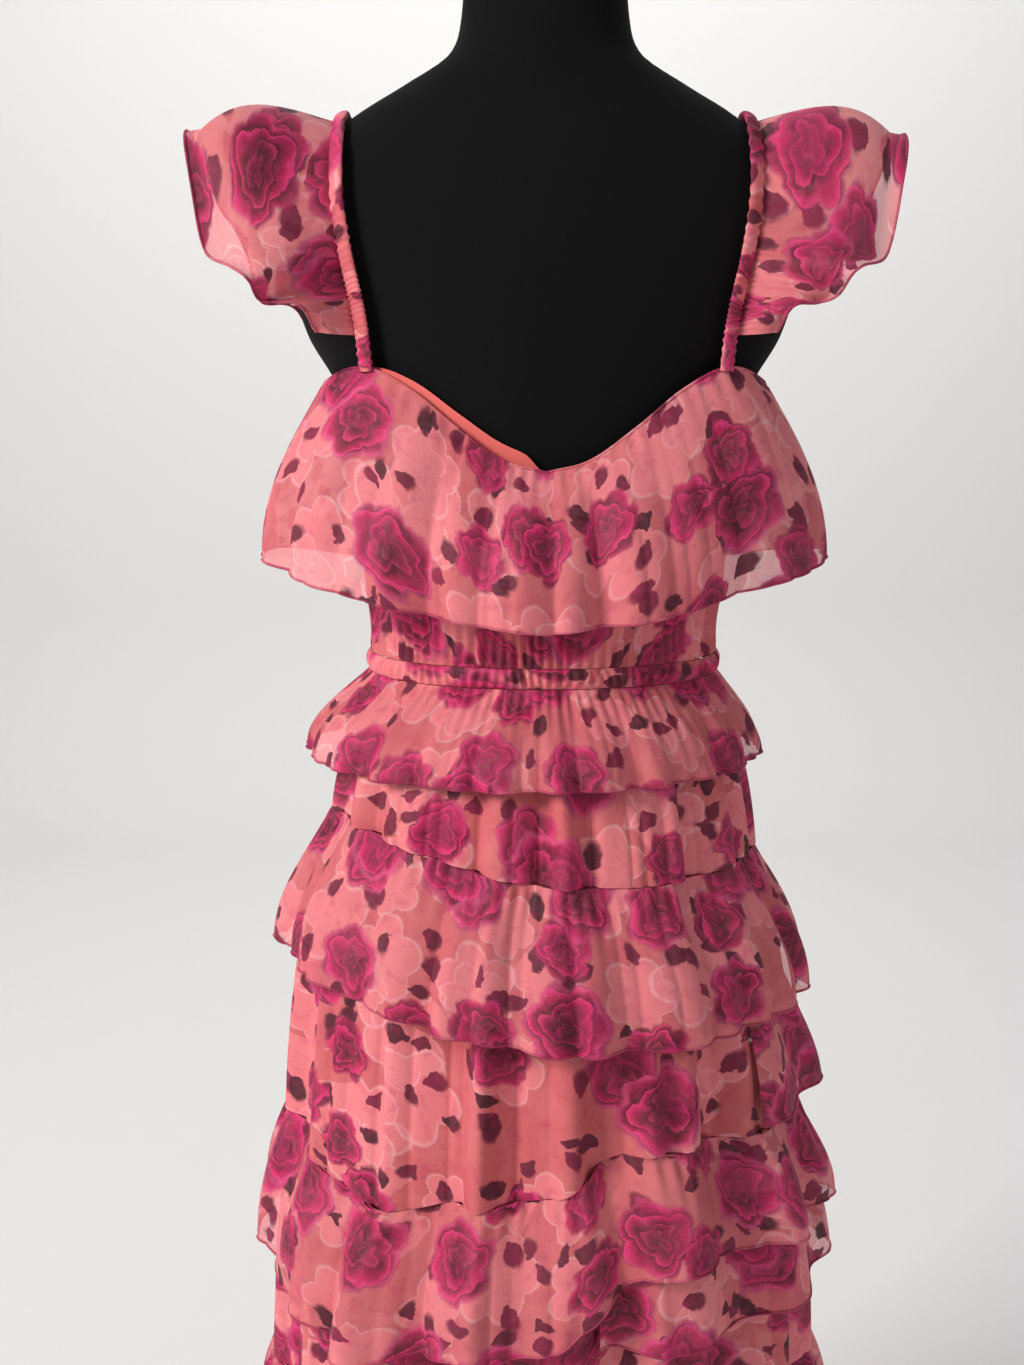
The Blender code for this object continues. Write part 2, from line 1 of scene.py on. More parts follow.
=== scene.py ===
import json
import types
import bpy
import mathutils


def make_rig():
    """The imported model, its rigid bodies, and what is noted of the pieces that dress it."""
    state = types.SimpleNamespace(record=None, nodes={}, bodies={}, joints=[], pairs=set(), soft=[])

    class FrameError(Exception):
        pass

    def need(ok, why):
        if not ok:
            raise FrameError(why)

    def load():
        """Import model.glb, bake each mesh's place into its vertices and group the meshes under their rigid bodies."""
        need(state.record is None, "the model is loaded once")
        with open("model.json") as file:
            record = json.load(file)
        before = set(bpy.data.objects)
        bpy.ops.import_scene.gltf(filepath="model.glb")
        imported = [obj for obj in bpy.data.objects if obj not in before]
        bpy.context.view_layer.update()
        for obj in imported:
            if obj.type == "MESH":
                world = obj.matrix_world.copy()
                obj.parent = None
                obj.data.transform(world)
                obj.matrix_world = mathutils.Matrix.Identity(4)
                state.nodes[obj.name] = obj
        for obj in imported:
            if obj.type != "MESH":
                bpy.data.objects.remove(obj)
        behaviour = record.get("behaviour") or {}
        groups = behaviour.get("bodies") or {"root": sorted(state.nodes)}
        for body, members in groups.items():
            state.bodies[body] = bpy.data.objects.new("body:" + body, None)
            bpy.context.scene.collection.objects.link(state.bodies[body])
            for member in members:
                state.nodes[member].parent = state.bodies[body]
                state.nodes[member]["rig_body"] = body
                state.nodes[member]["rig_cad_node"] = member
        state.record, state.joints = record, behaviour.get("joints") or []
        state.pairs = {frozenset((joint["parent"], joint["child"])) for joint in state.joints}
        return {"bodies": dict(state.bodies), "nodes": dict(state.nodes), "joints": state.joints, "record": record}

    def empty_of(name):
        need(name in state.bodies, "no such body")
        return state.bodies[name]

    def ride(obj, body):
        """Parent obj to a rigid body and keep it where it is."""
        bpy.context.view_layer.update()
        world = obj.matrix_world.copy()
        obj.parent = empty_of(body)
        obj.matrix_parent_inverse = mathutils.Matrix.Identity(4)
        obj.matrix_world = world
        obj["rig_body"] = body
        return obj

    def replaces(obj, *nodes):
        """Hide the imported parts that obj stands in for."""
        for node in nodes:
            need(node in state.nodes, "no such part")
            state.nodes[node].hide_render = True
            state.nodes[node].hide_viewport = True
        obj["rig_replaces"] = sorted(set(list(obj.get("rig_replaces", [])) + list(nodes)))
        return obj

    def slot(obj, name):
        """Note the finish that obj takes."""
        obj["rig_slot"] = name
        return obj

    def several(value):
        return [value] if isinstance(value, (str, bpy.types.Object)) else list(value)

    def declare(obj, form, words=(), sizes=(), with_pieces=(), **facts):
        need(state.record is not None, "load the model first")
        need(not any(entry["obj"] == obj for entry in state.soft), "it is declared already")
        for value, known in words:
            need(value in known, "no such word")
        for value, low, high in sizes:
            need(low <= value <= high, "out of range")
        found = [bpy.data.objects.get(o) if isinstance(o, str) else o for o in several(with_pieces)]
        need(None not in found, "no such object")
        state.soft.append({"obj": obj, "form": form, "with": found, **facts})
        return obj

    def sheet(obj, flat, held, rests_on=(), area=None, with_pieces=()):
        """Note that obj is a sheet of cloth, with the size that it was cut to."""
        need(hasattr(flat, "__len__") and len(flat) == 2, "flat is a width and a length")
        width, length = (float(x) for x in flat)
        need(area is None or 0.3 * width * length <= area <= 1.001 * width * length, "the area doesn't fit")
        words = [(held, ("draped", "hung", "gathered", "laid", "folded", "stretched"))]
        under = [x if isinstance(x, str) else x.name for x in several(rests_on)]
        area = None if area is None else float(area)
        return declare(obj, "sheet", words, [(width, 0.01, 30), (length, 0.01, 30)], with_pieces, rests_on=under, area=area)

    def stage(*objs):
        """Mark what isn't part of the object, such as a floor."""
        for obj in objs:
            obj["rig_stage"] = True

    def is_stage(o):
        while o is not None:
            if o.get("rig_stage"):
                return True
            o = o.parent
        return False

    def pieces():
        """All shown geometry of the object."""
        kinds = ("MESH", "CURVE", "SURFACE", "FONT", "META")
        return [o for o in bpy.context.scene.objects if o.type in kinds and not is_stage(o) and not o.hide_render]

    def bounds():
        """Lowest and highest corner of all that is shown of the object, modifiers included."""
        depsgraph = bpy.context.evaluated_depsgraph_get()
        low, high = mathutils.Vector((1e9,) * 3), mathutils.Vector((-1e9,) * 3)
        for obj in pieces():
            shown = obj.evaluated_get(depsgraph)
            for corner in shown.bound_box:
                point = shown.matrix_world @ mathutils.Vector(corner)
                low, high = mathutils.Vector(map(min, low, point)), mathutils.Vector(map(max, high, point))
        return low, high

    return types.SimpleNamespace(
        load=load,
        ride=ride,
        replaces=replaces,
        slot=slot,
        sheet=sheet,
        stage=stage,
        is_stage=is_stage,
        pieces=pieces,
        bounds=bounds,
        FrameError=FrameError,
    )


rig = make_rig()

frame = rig.load()

import json
import math

import bpy
import numpy as np

# The tiered dress on its form, finer than its solids. Metres, +Z up, the back of the dress faces -Y.
# An angle round the body is 0 at the centre back, 90 at +X, 180 at the centre front.

start_low, start_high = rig.bounds()

# Distance between two layers of cloth at a seam, and the full one that they reach below it
SEWN = 0.0019
LAYER = 0.0032
LAYER_DEPTH = 0.018
# Small steps that keep the edges of two pieces apart
SEAM_STEP = 0.0006
SEAM_GAP = 0.0003
# Distance of the lining from the form, and less at the waist
FORM_EASE = 0.0055
WAIST_EASE = 0.0019
WAIST_EASE_REACH = 0.035
HEM_ROLL = 0.0010
HEM_HEIGHT = 0.06
WAIST_TOP = 1.0300
WAIST_LOW = 1.0160
FORM_LOW = 0.800
FORM_TOP = 1.540
SHOULDER_HEIGHT = 1.40
LINING_HEM = 0.520
# Below the hip the lining hangs free and widens to this half width and these depths
HIP_HEIGHT = 0.90
HIP_DROP = 0.12
LINING_FREE = (0.152, 0.122, 0.112)
STRAP_HALF_WIDTH = 0.0060
STRAP_HALF_THICKNESS = 0.0022
STRAP_OFF_FORM = 0.0066
# The strap's flat side faces away from this share of its distance and this height
STRAP_LEAN_SHARE = 0.55
STRAP_LEAN_HEIGHT = 1.30
STRAP_STATIONS = 300
FLUTTER_GAP = 0.0004
# Power of the rounded outline round the body: 2 is an ellipse
BODY_POWER = 2.2
COLUMNS = 600
FORM_COLUMNS = 144

# Torso sections: height, half width, depth to the back, depth to the front
FORM_SECTIONS = np.array([
    (0.800, 0.128, 0.092, 0.084), (0.830, 0.141, 0.106, 0.096), (0.900, 0.144, 0.112, 0.100),
    (0.960, 0.132, 0.100, 0.094), (1.020, 0.113, 0.086, 0.086), (1.080, 0.121, 0.091, 0.098),
    (1.140, 0.135, 0.099, 0.118), (1.190, 0.143, 0.103, 0.132), (1.225, 0.152, 0.102, 0.126),
    (1.260, 0.172, 0.099, 0.112), (1.310, 0.186, 0.092, 0.094), (1.350, 0.186, 0.082, 0.080),
    (1.385, 0.168, 0.071, 0.067), (1.412, 0.136, 0.062, 0.058), (1.432, 0.102, 0.057, 0.055),
    (1.452, 0.070, 0.055, 0.054), (1.475, 0.060, 0.054, 0.054), (1.540, 0.056, 0.052, 0.052),
])
# Neckline: angle, height
NECKLINE = [
    (0, 1.166), (15, 1.174), (30, 1.196), (45, 1.222), (58, 1.236), (75, 1.228), (90, 1.222),
    (110, 1.228), (130, 1.246), (150, 1.256), (165, 1.250), (180, 1.240),
]
# How far the lining's edge lies above the neckline: angle, height
LINING_LIFT = [
    (-180, -0.003), (-75, -0.003), (-62, -0.001), (-45, 0.005), (-20, 0.010), (-8, 0.009), (-2, 0.000),
    (4, -0.003), (180, -0.003),
]
# Flounce: angle with the hem's height, then angle with the hem's radius
FLOUNCE_HEM = [
    (0, 1.062), (25, 1.070), (50, 1.086), (75, 1.102), (95, 1.104), (120, 1.092), (150, 1.078),
    (180, 1.072),
]
FLOUNCE_REACH = [
    (0, 0.156), (25, 0.163), (50, 0.187), (72, 0.206), (90, 0.204), (110, 0.186), (140, 0.174),
    (180, 0.172),
]
# Flounce folds: angle of the trough, half width, depth
FLOUNCE_FOLDS = [
    (-28, 16, 0.008), (12, 12, 0.009), (46, 14, 0.012), (150, 16, 0.010), (-140, 16, 0.010), (176, 12, 0.008),
]
# Skirt panels: top, bottom, half width and depths at the bottom
PANELS = [
    (1.0157, 0.8870, 0.160, 0.150, 0.142),
    (0.8867, 0.6850, 0.197, 0.184, 0.174),
    (0.6847, 0.4750, 0.214, 0.199, 0.190),
    (0.4747, 0.2650, 0.234, 0.217, 0.208),
    (0.2647, HEM_HEIGHT, 0.262, 0.240, 0.230),
]
# Share of a panel's length at its middle row
PANEL_MIDDLE = 0.35
# Ruffles from the waist down: length, reach at the hem
RUFFLES = [(0.062, 0.056), (0.103, 0.044), (0.100, 0.031), (0.098, 0.034), (0.098, 0.034)]
# How far the panels' seams lie above their level: angle, height. The first seam has its own table
SEAM_LIFT = [
    (-180, 0.0), (-110, -0.006), (-70, -0.012), (-38, -0.034), (-20, -0.022), (0, -0.012), (18, 0.016),
    (45, 0.010), (80, 0.004), (180, 0.0),
]
UPPER_LIFT = [
    (-180, 0.004), (-110, 0.018), (-60, 0.028), (-25, 0.012), (0, 0.000), (60, -0.003), (110, 0.000),
    (180, 0.004),
]
# How far the waist ruffle's hem stands out: angle, distance
WAIST_SPREAD = [
    (-180, 0.050), (-120, 0.054), (-60, 0.046), (0, 0.048), (60, 0.034), (100, 0.036), (180, 0.050),
]
# How much shorter ruffle 2 is than its length: angle, height
SHORTENED = [(-180, 0.0), (0, 0.0), (20, 0.022), (60, 0.026), (100, 0.012), (135, 0.0), (180, 0.0)]
# Skirt folds: angle of the trough, half width, depth
FOLDS = [
    (-5, 9, 0.016), (15, 8, 0.020), (42, 11, 0.022), (66, 9, 0.012), (88, 10, 0.016), (112, 10, 0.018),
    (136, 10, 0.014), (158, 9, 0.018), (180, 9, 0.013), (-160, 9, 0.017), (-138, 10, 0.013),
    (-114, 10, 0.018), (-92, 9, 0.014), (-68, 10, 0.017), (-47, 8, 0.009), (-26, 12, 0.022),
]
# Share of the folds' depth at the bottom of each panel
FOLD_SHARES = (0.30, 0.85, 1.0, 1.1, 1.2)
# Waves of each ruffle's hem: count, depth, angle of the first
RUFFLE_WAVES = [(14, 0.0050, 10), (12, 0.0070, 35), (12, 0.0065, 80), (11, 0.0070, 15), (11, 0.0070, 60)]
BODICE_GATHERS = 18
CASING_GATHERS = 24
# Depth of the soft upright folds on the skirt and on the flounce
SKIRT_TUBES = 0.0125
FLOUNCE_TUBES = 0.0085
# Side ruffles: node, top, bottom, first and last angle, reach
SIDE_RUFFLES = [
    ("side_ruffle_upper", 0.772, 0.704, 50.625, 118.125, 0.016),
    ("side_ruffle_lower", 0.655, 0.566, 11.25, 112.5, 0.014),
]
# Strap: share of its length, distance from the middle plane, angle over the shoulder from the back
STRAP_ROUTE = [
    (0.0, 0.124, -17), (0.16, 0.130, 8), (0.33, 0.137, 36), (0.50, 0.140, 84), (0.67, 0.138, 130),
    (0.84, 0.130, 162), (1.0, 0.118, 186),
]
# The strap's angles turn round a hub inside the form
STRAP_HUB_HEIGHT = 1.268
STRAP_HUB_SHARE = 0.80
STRAP_HUB_REACH = 0.10
SEARCH_REACH = 0.30
SEARCH_STEPS = 26
# Flutter: share of its length, width, then its direction outwards, to the back and up
FLUTTER = [
    (0.00, 0.018, 0.80, 0.30, 0.10), (0.15, 0.038, 0.88, 0.40, 0.00), (0.30, 0.072, 0.92, 0.45, -0.24),
    (0.42, 0.094, 0.96, 0.22, -0.26), (0.52, 0.099, 0.96, 0.00, -0.22), (0.64, 0.093, 0.95, -0.22, -0.34),
    (0.80, 0.073, 0.92, -0.36, -0.22), (0.92, 0.044, 0.92, -0.34, -0.02), (1.00, 0.022, 0.85, -0.38, 0.08),
]


def eased(rows, at, column=1):
    """A column of a table as a smooth curve over the table's first column."""
    table = np.array(rows, float)
    at = np.clip(np.asarray(at, float), table[0, 0], table[-1, 0])
    k = np.clip(np.searchsorted(table[:, 0], at, side="left"), 1, len(table) - 1)
    low, high = table[k - 1], table[k]
    before, after = table[np.maximum(k - 2, 0)], table[np.minimum(k + 1, len(table) - 1)]
    span = high[..., 0] - low[..., 0]
    t = (at - low[..., 0]) / span
    start = (high[..., column] - before[..., column]) / (high[..., 0] - before[..., 0]) * span
    end = (after[..., column] - low[..., column]) / (after[..., 0] - low[..., 0]) * span
    return (
        (2 * t**3 - 3 * t**2 + 1) * low[..., column]
        + (t**3 - 2 * t**2 + t) * start
        + (3 * t**2 - 2 * t**3) * high[..., column]
        + (t**3 - t**2) * end
    )


def wrapped(angle):
    return (np.asarray(angle, float) + 180.0) % 360.0 - 180.0


def plan(angle, half_width, back, front):
    turn = np.radians(angle)
    depth = np.where(np.cos(turn) >= 0, back, front)
    across = np.abs(np.sin(turn) / half_width) ** BODY_POWER
    along = np.abs(np.cos(turn) / depth) ** BODY_POWER
    return (across + along) ** (-1 / BODY_POWER)


def form_radius(angle, height):
    return plan(angle, *(eased(FORM_SECTIONS, height, column) for column in (1, 2, 3)))


def trough(angle, centre, half_width):
    away = np.minimum(np.abs(wrapped(angle - centre)) / half_width, 1.0)
    return (0.5 + 0.5 * np.cos(np.pi * away)) ** 0.8


def fold_depth(angle, folds):
    return sum(depth * trough(angle, centre, half) for centre, half, depth in folds)


def wave(angle, count, phase):
    return -((0.5 - 0.5 * np.cos(np.radians(count * (angle - phase)))) ** 2)


def layer_below(depth):
    return SEWN + (LAYER - SEWN) * np.clip(depth / LAYER_DEPTH, 0.0, 1.0)


def ripple(angle, low, high, seed, terms=9):
    """An uneven row of small waves round a ring, about -1 to 1, from low to high of them in the turn."""
    pick = np.random.default_rng(seed)
    total = 0.0
    for _ in range(terms):
        count, phase = pick.integers(low, high + 1), pick.uniform(0, 2 * np.pi)
        total = total + np.sin(np.radians(angle) * count + phase)
    return total / math.sqrt(terms) * 0.8


def comb(angle, count, seed):
    """A row of small gathers of about one size whose spacing wanders a little."""
    drift = 1.6 * ripple(angle, 3, 9, seed)
    size = 0.80 + 0.28 * ripple(angle, 9, 21, seed + 1)
    return size * np.sin(np.radians(angle) * count + drift)


def seam_lift(index, angle):
    if index == len(PANELS) - 1:
        return 0.0 * angle
    return eased(SEAM_LIFT if index else UPPER_LIFT, wrapped(angle))


def panel_low(index, angle):
    return PANELS[index][1] + seam_lift(index, angle)


def panel_high(index, angle):
    return PANELS[index][0] + (seam_lift(index - 1, angle) if index else 0.0 * angle)


def casing_radius(angle):
    body = form_radius(angle, WAIST_LOW + 0.0 * angle) + FORM_EASE + 2 * LAYER + 0.0045
    return body + 0.0012 * wave(angle, CASING_GATHERS, 0)


def panel_bottom_radius(index, angle):
    _, _, half_width, back, front = PANELS[index]
    return plan(angle, half_width, back, front) - FOLD_SHARES[index] * fold_depth(angle, FOLDS)


def panel_radius(index, angle, height):
    high, low = panel_high(index, angle), panel_low(index, angle)
    share = np.clip((high - height) / (high - low), 0.0, 1.0)
    fullness = math.sin(PANEL_MIDDLE * math.pi / 2) ** 0.9
    straight = np.where(
        share < PANEL_MIDDLE,
        fullness * share / PANEL_MIDDLE,
        fullness + (1 - fullness) * (share - PANEL_MIDDLE) / (1 - PANEL_MIDDLE),
    )
    curved = np.sin(share * np.pi / 2) ** 0.9
    share = 0.5 * straight + 0.5 * curved
    start = (panel_bottom_radius(index - 1, angle) if index else casing_radius(angle)) - SEWN
    return start + (panel_bottom_radius(index, angle) - start) * share


def tubes(angle, drop, seed, depth):
    """Soft vertical folds with rounded crests and sharp troughs that deepen downwards."""
    grow = 1 - np.exp(-((drop / 0.050) ** 1.3))
    bend = ripple(angle, 4, 9, seed + 7) * 3.0
    crest = np.abs(np.cos(np.radians((angle + bend) * 11.5 + seed * 40)))
    other = np.abs(np.cos(np.radians((angle - bend) * 17.5 + seed * 25)))
    return depth * grow * (0.65 * crest**0.7 + 0.35 * other**0.7 - 0.62)


def gathers(angle, drop, seed, fine=0.0013, soft=0.0020):
    """Fine gathers just under a seam that run into fewer, softer folds lower down."""
    near = np.exp(-((drop / 0.022) ** 1.2))
    settle = np.clip(drop / 0.004, 0.0, 1.0)
    wide = 1 - np.exp(-((drop / 0.030) ** 1.5))
    small = comb(angle + 0.6 * np.sin(drop * 60 + np.radians(angle) * 9), 98, seed)
    large = ripple(angle + 0.5 * np.sin(drop * 40 + angle * 0.1), 26, 46, seed + 50)
    return fine * near * settle * small + soft * wide * large


def panel_shape(index):
    def radius(angle, height):
        drop = panel_high(index, angle) - height
        body = panel_radius(index, angle, height) + gathers(angle, drop, 10 + index, 0.0016, 0.0016)
        return body + tubes(angle, drop, 3 + index, SKIRT_TUBES) - SEAM_STEP
    return radius


def ruffle_high(index, angle):
    return (WAIST_LOW + 0.0 * angle if index == 0 else panel_low(index - 1, angle)) - SEAM_STEP


def ruffle_low(index, angle):
    drop = RUFFLES[index][0] + 0.0 * angle
    top = WAIST_LOW - SEAM_GAP + 0.0 * angle if index == 0 else panel_low(index - 1, angle)
    if index == 2:
        drop = drop - eased(SHORTENED, wrapped(angle))
    return top - drop


def ruffle_radius(index, angle, height):
    high = WAIST_LOW + 0.0 * angle if index == 0 else panel_low(index - 1, angle)
    low = ruffle_low(index, angle)
    share = np.clip((high - height) / (high - low), 0.0, 1.0)
    root = casing_radius(angle) if index == 0 else panel_bottom_radius(index - 1, angle)
    count, depth, phase = RUFFLE_WAVES[index]
    spread = np.sin(share * np.pi / 2) ** 1.15
    out = RUFFLES[index][1] if index else eased(WAIST_SPREAD, wrapped(angle))
    reach = root + out * spread + depth * share * wave(angle, count, phase)
    inside = panel_radius(index, angle, height) + layer_below(high - height) + 0.009 * share
    return np.maximum(reach, inside)


def ruffle_shape(index):
    def radius(angle, height):
        high, low = ruffle_high(index, angle), ruffle_low(index, angle)
        share = np.clip((high - height) / (high - low), 0.0, 1.0)
        body = ruffle_radius(index, angle, height)
        curl = 0.0030 * share**2 * ripple(angle, 20, 34, 70 + index)
        body = body + gathers(angle, high - height, 30 + index, 0.0017, 0.0012) + curl
        body = body + tubes(angle, high - height, 13 + index, SKIRT_TUBES)
        return np.maximum(body, panel_shape(index)(angle, height) + SEWN + 0.002 * share)
    return radius


def side_ruffle_radius(row):
    _, high, low, first, last, reach = row
    index = 1 if high > 0.70 else 2

    def radius(angle, height):
        share = np.clip((high - height) / (high - low), 0.0, 1.0)
        middle, half = (first + last) / 2, (last - first) / 2
        fade = 0.25 + 0.75 * np.maximum(0.0, 1 - np.abs(angle - middle) / half) ** 0.5
        waves = 0.0035 * (1 + wave(angle, 18, 20)) * share
        base = panel_radius(index, angle, height) + SEWN + 0.0020
        body = base + (reach * np.sin(share * np.pi / 2) + waves) * fade
        body = body + gathers(angle, high - height, 45, 0.001, 0.001)
        return np.maximum(body, panel_shape(index)(angle, height) + SEWN)
    return radius


def lining_radius(angle, height):
    away = np.minimum(np.abs(height - WAIST_TOP) / WAIST_EASE_REACH, 1.0)
    close = form_radius(angle, height) + WAIST_EASE + (FORM_EASE - WAIST_EASE) * away
    start = form_radius(angle, HIP_HEIGHT + 0.0 * angle) + FORM_EASE
    free = plan(angle, *LINING_FREE) + FORM_EASE
    share = np.clip((HIP_HEIGHT - height) / HIP_DROP, 0.0, 1.0)
    return np.where(height >= HIP_HEIGHT, close, start + (free - start) * share)


def neckline(angle):
    return eased(NECKLINE, np.abs(wrapped(angle)))


def lining_high(angle):
    return neckline(angle) + eased(LINING_LIFT, wrapped(angle))


def flounce_low(angle):
    return eased(FLOUNCE_HEM, np.abs(wrapped(angle)))


def bodice_radius(angle, height):
    share = np.clip((height - WAIST_TOP) / 0.10, 0.0, 1.0)
    start = casing_radius(angle)
    bulge = 0.010 * np.sin(np.pi * share) ** 2 * (1 - share)
    full = lining_radius(angle, height) + layer_below(neckline(angle) - height) + 0.0008 + bulge
    low = start + (full - start) * share
    return low + 0.0026 * np.sin(np.pi * share) * (0.6 + wave(angle, BODICE_GATHERS, 6))


def bodice_shape(angle, height):
    above = height - WAIST_TOP
    fine = np.exp(-((above / 0.045) ** 1.4)) * np.clip(above / 0.003, 0.0, 1.0)
    turn = angle + 0.7 * np.sin(above * 50 + np.radians(angle) * 7)
    return bodice_radius(angle, height) + 0.0020 * fine * comb(turn, 92, 5)


def flounce_shape(angle, height):
    high, low = neckline(angle), flounce_low(angle)
    share = np.clip((high - height) / (high - low), 0.0, 1.0)
    start = bodice_radius(angle, high) + SEWN
    reach = eased(FLOUNCE_REACH, np.abs(wrapped(angle)))
    swell = fold_depth(angle, FLOUNCE_FOLDS)
    radius = start + (reach - start) * np.sin(share * np.pi / 2) ** 0.95 - swell * share
    radius = np.maximum(radius, bodice_radius(angle, height) + layer_below(high - height))
    drop = high - height
    puckers = 0.0011 * np.exp(-((drop / 0.016) ** 1.3)) * np.clip(drop / 0.003, 0, 1) * comb(angle, 78, 8)
    folds = 0.0022 * np.sqrt(share) * ripple(angle, 12, 26, 9) + tubes(angle, drop, 2, FLOUNCE_TUBES)
    return radius + puckers + folds * np.clip(drop / 0.02, 0, 1)


def casing_shape(angle, height):
    share = (height - WAIST_LOW) / (WAIST_TOP - WAIST_LOW)
    puff = np.sin(np.pi * np.clip(share, 0.0, 1.0)) ** 0.6
    turn = angle + 0.6 * np.sin(share * 3 + np.radians(angle) * 11)
    return casing_radius(angle) + SEAM_STEP + puff * (0.0022 + 0.0016 * comb(turn, 104, 3))


def level(height):
    """A ring's edge at one height all round."""
    return lambda angle: height + 0.0 * angle


def mesh_object(name, points, faces, uvs, look):
    mesh = bpy.data.meshes.new(name)
    mesh.from_pydata([tuple(p) for p in points], [], faces)
    layer = mesh.uv_layers.new(name="UVMap")
    loops = np.empty(len(mesh.loops), dtype=np.int32)
    mesh.loops.foreach_get("vertex_index", loops)
    layer.data.foreach_set("uv", np.asarray(uvs, float)[loops].astype(np.float32).ravel())
    mesh.shade_smooth()
    made = bpy.data.objects.new(name, mesh)
    bpy.context.scene.collection.objects.link(made)
    made.data.materials.append(look)
    return made


def grid_object(name, grid, uv, look):
    """A surface from a rows x columns x 3 grid. A closed ring repeats its first column at the end."""
    rows, columns = grid.shape[:2]
    faces = []
    for r in range(rows - 1):
        for c in range(columns - 1):
            a = r * columns + c
            faces.append((a, a + columns, a + columns + 1, a + 1))
    return mesh_object(name, grid.reshape(-1, 3), faces, uv.reshape(-1, 2), look)


def tube_object(name, line, radius, uvs, look, sides=6):
    """A thin round roll along a line of points, for a rolled hem."""
    along = np.gradient(line, axis=0)
    along /= np.linalg.norm(along, axis=1)[:, None]
    side = np.cross(along, np.array([0.0, 0.0, 1.0]))
    side /= np.maximum(np.linalg.norm(side, axis=1), 1e-9)[:, None]
    lift = np.cross(side, along)
    turns = np.linspace(0, 2 * np.pi, sides + 1)
    grid = np.stack([line + radius * (math.cos(t) * side + math.sin(t) * lift) for t in turns])
    uv = np.stack([uvs + np.array([0.0, 0.0005 * k]) for k in range(sides + 1)])
    return grid_object(name, grid, uv, look)


def finished(piece, slot, nodes=()):
    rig.ride(piece, "root")
    if nodes:
        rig.replaces(piece, *nodes)
    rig.slot(piece, slot)
    return piece


sheets = {}


def declare(piece, grid, held, rests, extra=()):
    across = np.linalg.norm(np.diff(grid, axis=1), axis=2).sum(axis=1).max()
    down = np.linalg.norm(np.diff(grid, axis=0), axis=2).sum(axis=0).mean()
    flat = (round(float(across), 3), round(float(down), 3))
    sheets[piece.name] = flat
    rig.sheet(piece, flat=flat, held=held, rests_on=rests, with_pieces=list(extra))


def ring(name, shape, high, low, rows, look, nodes, held, rests, offset, first=-180.0, last=180.0,
         hem=None, columns=COLUMNS, slot="rose_print_chiffon", hem_top=False):
    """A ring or arc of cloth hung from high(angle) to low(angle), with its cut's place on the print."""
    angles = np.linspace(first, last, columns + 1)
    if last - first >= 360.0:
        angles = np.concatenate([angles[:-1], angles[:1]])
    shares = np.linspace(0, 1, rows)
    top, bottom = high(angles), low(angles)
    height = top[None, :] + (bottom - top)[None, :] * shares[:, None]
    angle = np.broadcast_to(angles, height.shape)
    radius = shape(angle, height)
    turn = np.radians(angle)
    grid = np.stack([np.sin(turn) * radius, -np.cos(turn) * radius, height], axis=2)
    steps = np.linspace(first, last, columns + 1) / 360.0
    girth = 2 * math.pi * float(radius[-1].mean())
    u = np.broadcast_to(steps[None, :] * girth, height.shape) + offset[0]
    lengths = np.linalg.norm(np.diff(grid, axis=0), axis=2)
    down = np.concatenate([np.zeros((1, height.shape[1])), np.cumsum(lengths, axis=0)])
    uv = np.stack([u, offset[1] - down], axis=2)
    piece = finished(grid_object(name, grid, uv, look), slot, nodes)
    extra = []
    if hem:
        roll = tube_object(name + "_hem", grid[-1], HEM_ROLL, uv[-1], hem)
        extra.append(finished(roll, slot))
    if hem_top:
        roll = tube_object(name + "_edge", grid[0], HEM_ROLL, uv[0], look)
        extra.append(finished(roll, slot))
    declare(piece, grid, held, rests, extra)
    return piece


class Nodes:
    """Short calls for building a material's nodes."""

    def __init__(self, name):
        self.material = bpy.data.materials.new(name)
        self.material.use_nodes = True
        self.tree = self.material.node_tree
        self.shader = self.tree.nodes["Principled BSDF"]

    def add(self, kind, **settings):
        node = self.tree.nodes.new(kind)
        for key, value in settings.items():
            setattr(node, key, value)
        return node

    def put(self, socket, value):
        if isinstance(value, bpy.types.NodeSocket):
            self.tree.links.new(value, socket)
        elif value is not None:
            socket.default_value = value

    def maths(self, operation, a, b=None, c=None):
        node = self.add("ShaderNodeMath", operation=operation)
        for socket, value in zip(node.inputs, (a, b, c)):
            self.put(socket, value)
        return node.outputs[0]

    def times(self, a, b):
        return self.maths("MULTIPLY", a, b)

    def vector(self, operation, a, b=None, scale=None):
        node = self.add("ShaderNodeVectorMath", operation=operation)
        self.put(node.inputs[0], a)
        if b is not None:
            self.put(node.inputs[1], b)
        if scale is not None:
            self.put(node.inputs["Scale"], scale)
        return node.outputs["Value"] if operation in ("LENGTH", "DOT_PRODUCT") else node.outputs["Vector"]

    def noise(self, vector, scale, detail=2.0, roughness=0.5):
        node = self.add("ShaderNodeTexNoise", noise_dimensions="2D")
        self.put(node.inputs["Vector"], vector)
        node.inputs["Scale"].default_value = scale
        node.inputs["Detail"].default_value = detail
        node.inputs["Roughness"].default_value = roughness
        return node

    def between(self, value, low, high, to_low=0.0, to_high=1.0):
        node = self.add("ShaderNodeMapRange", interpolation_type="SMOOTHSTEP")
        for socket, item in zip(node.inputs[:5], (value, low, high, to_low, to_high)):
            self.put(socket, item)
        return node.outputs[0]

    def mix(self, share, a, b):
        node = self.add("ShaderNodeMix", data_type="RGBA")
        self.put(node.inputs["Factor"], share)
        self.put(node.inputs["A"], a)
        self.put(node.inputs["B"], b)
        return node.outputs["Result"]

    def ramp(self, value, stops):
        node = self.add("ShaderNodeValToRGB")
        self.put(node.inputs[0], value)
        band = node.color_ramp
        while len(band.elements) < len(stops):
            band.elements.new(0.5)
        for element, (at, colour) in zip(band.elements, stops):
            element.position = at
            element.color = (*colour, 1.0)
        return node.outputs[0]


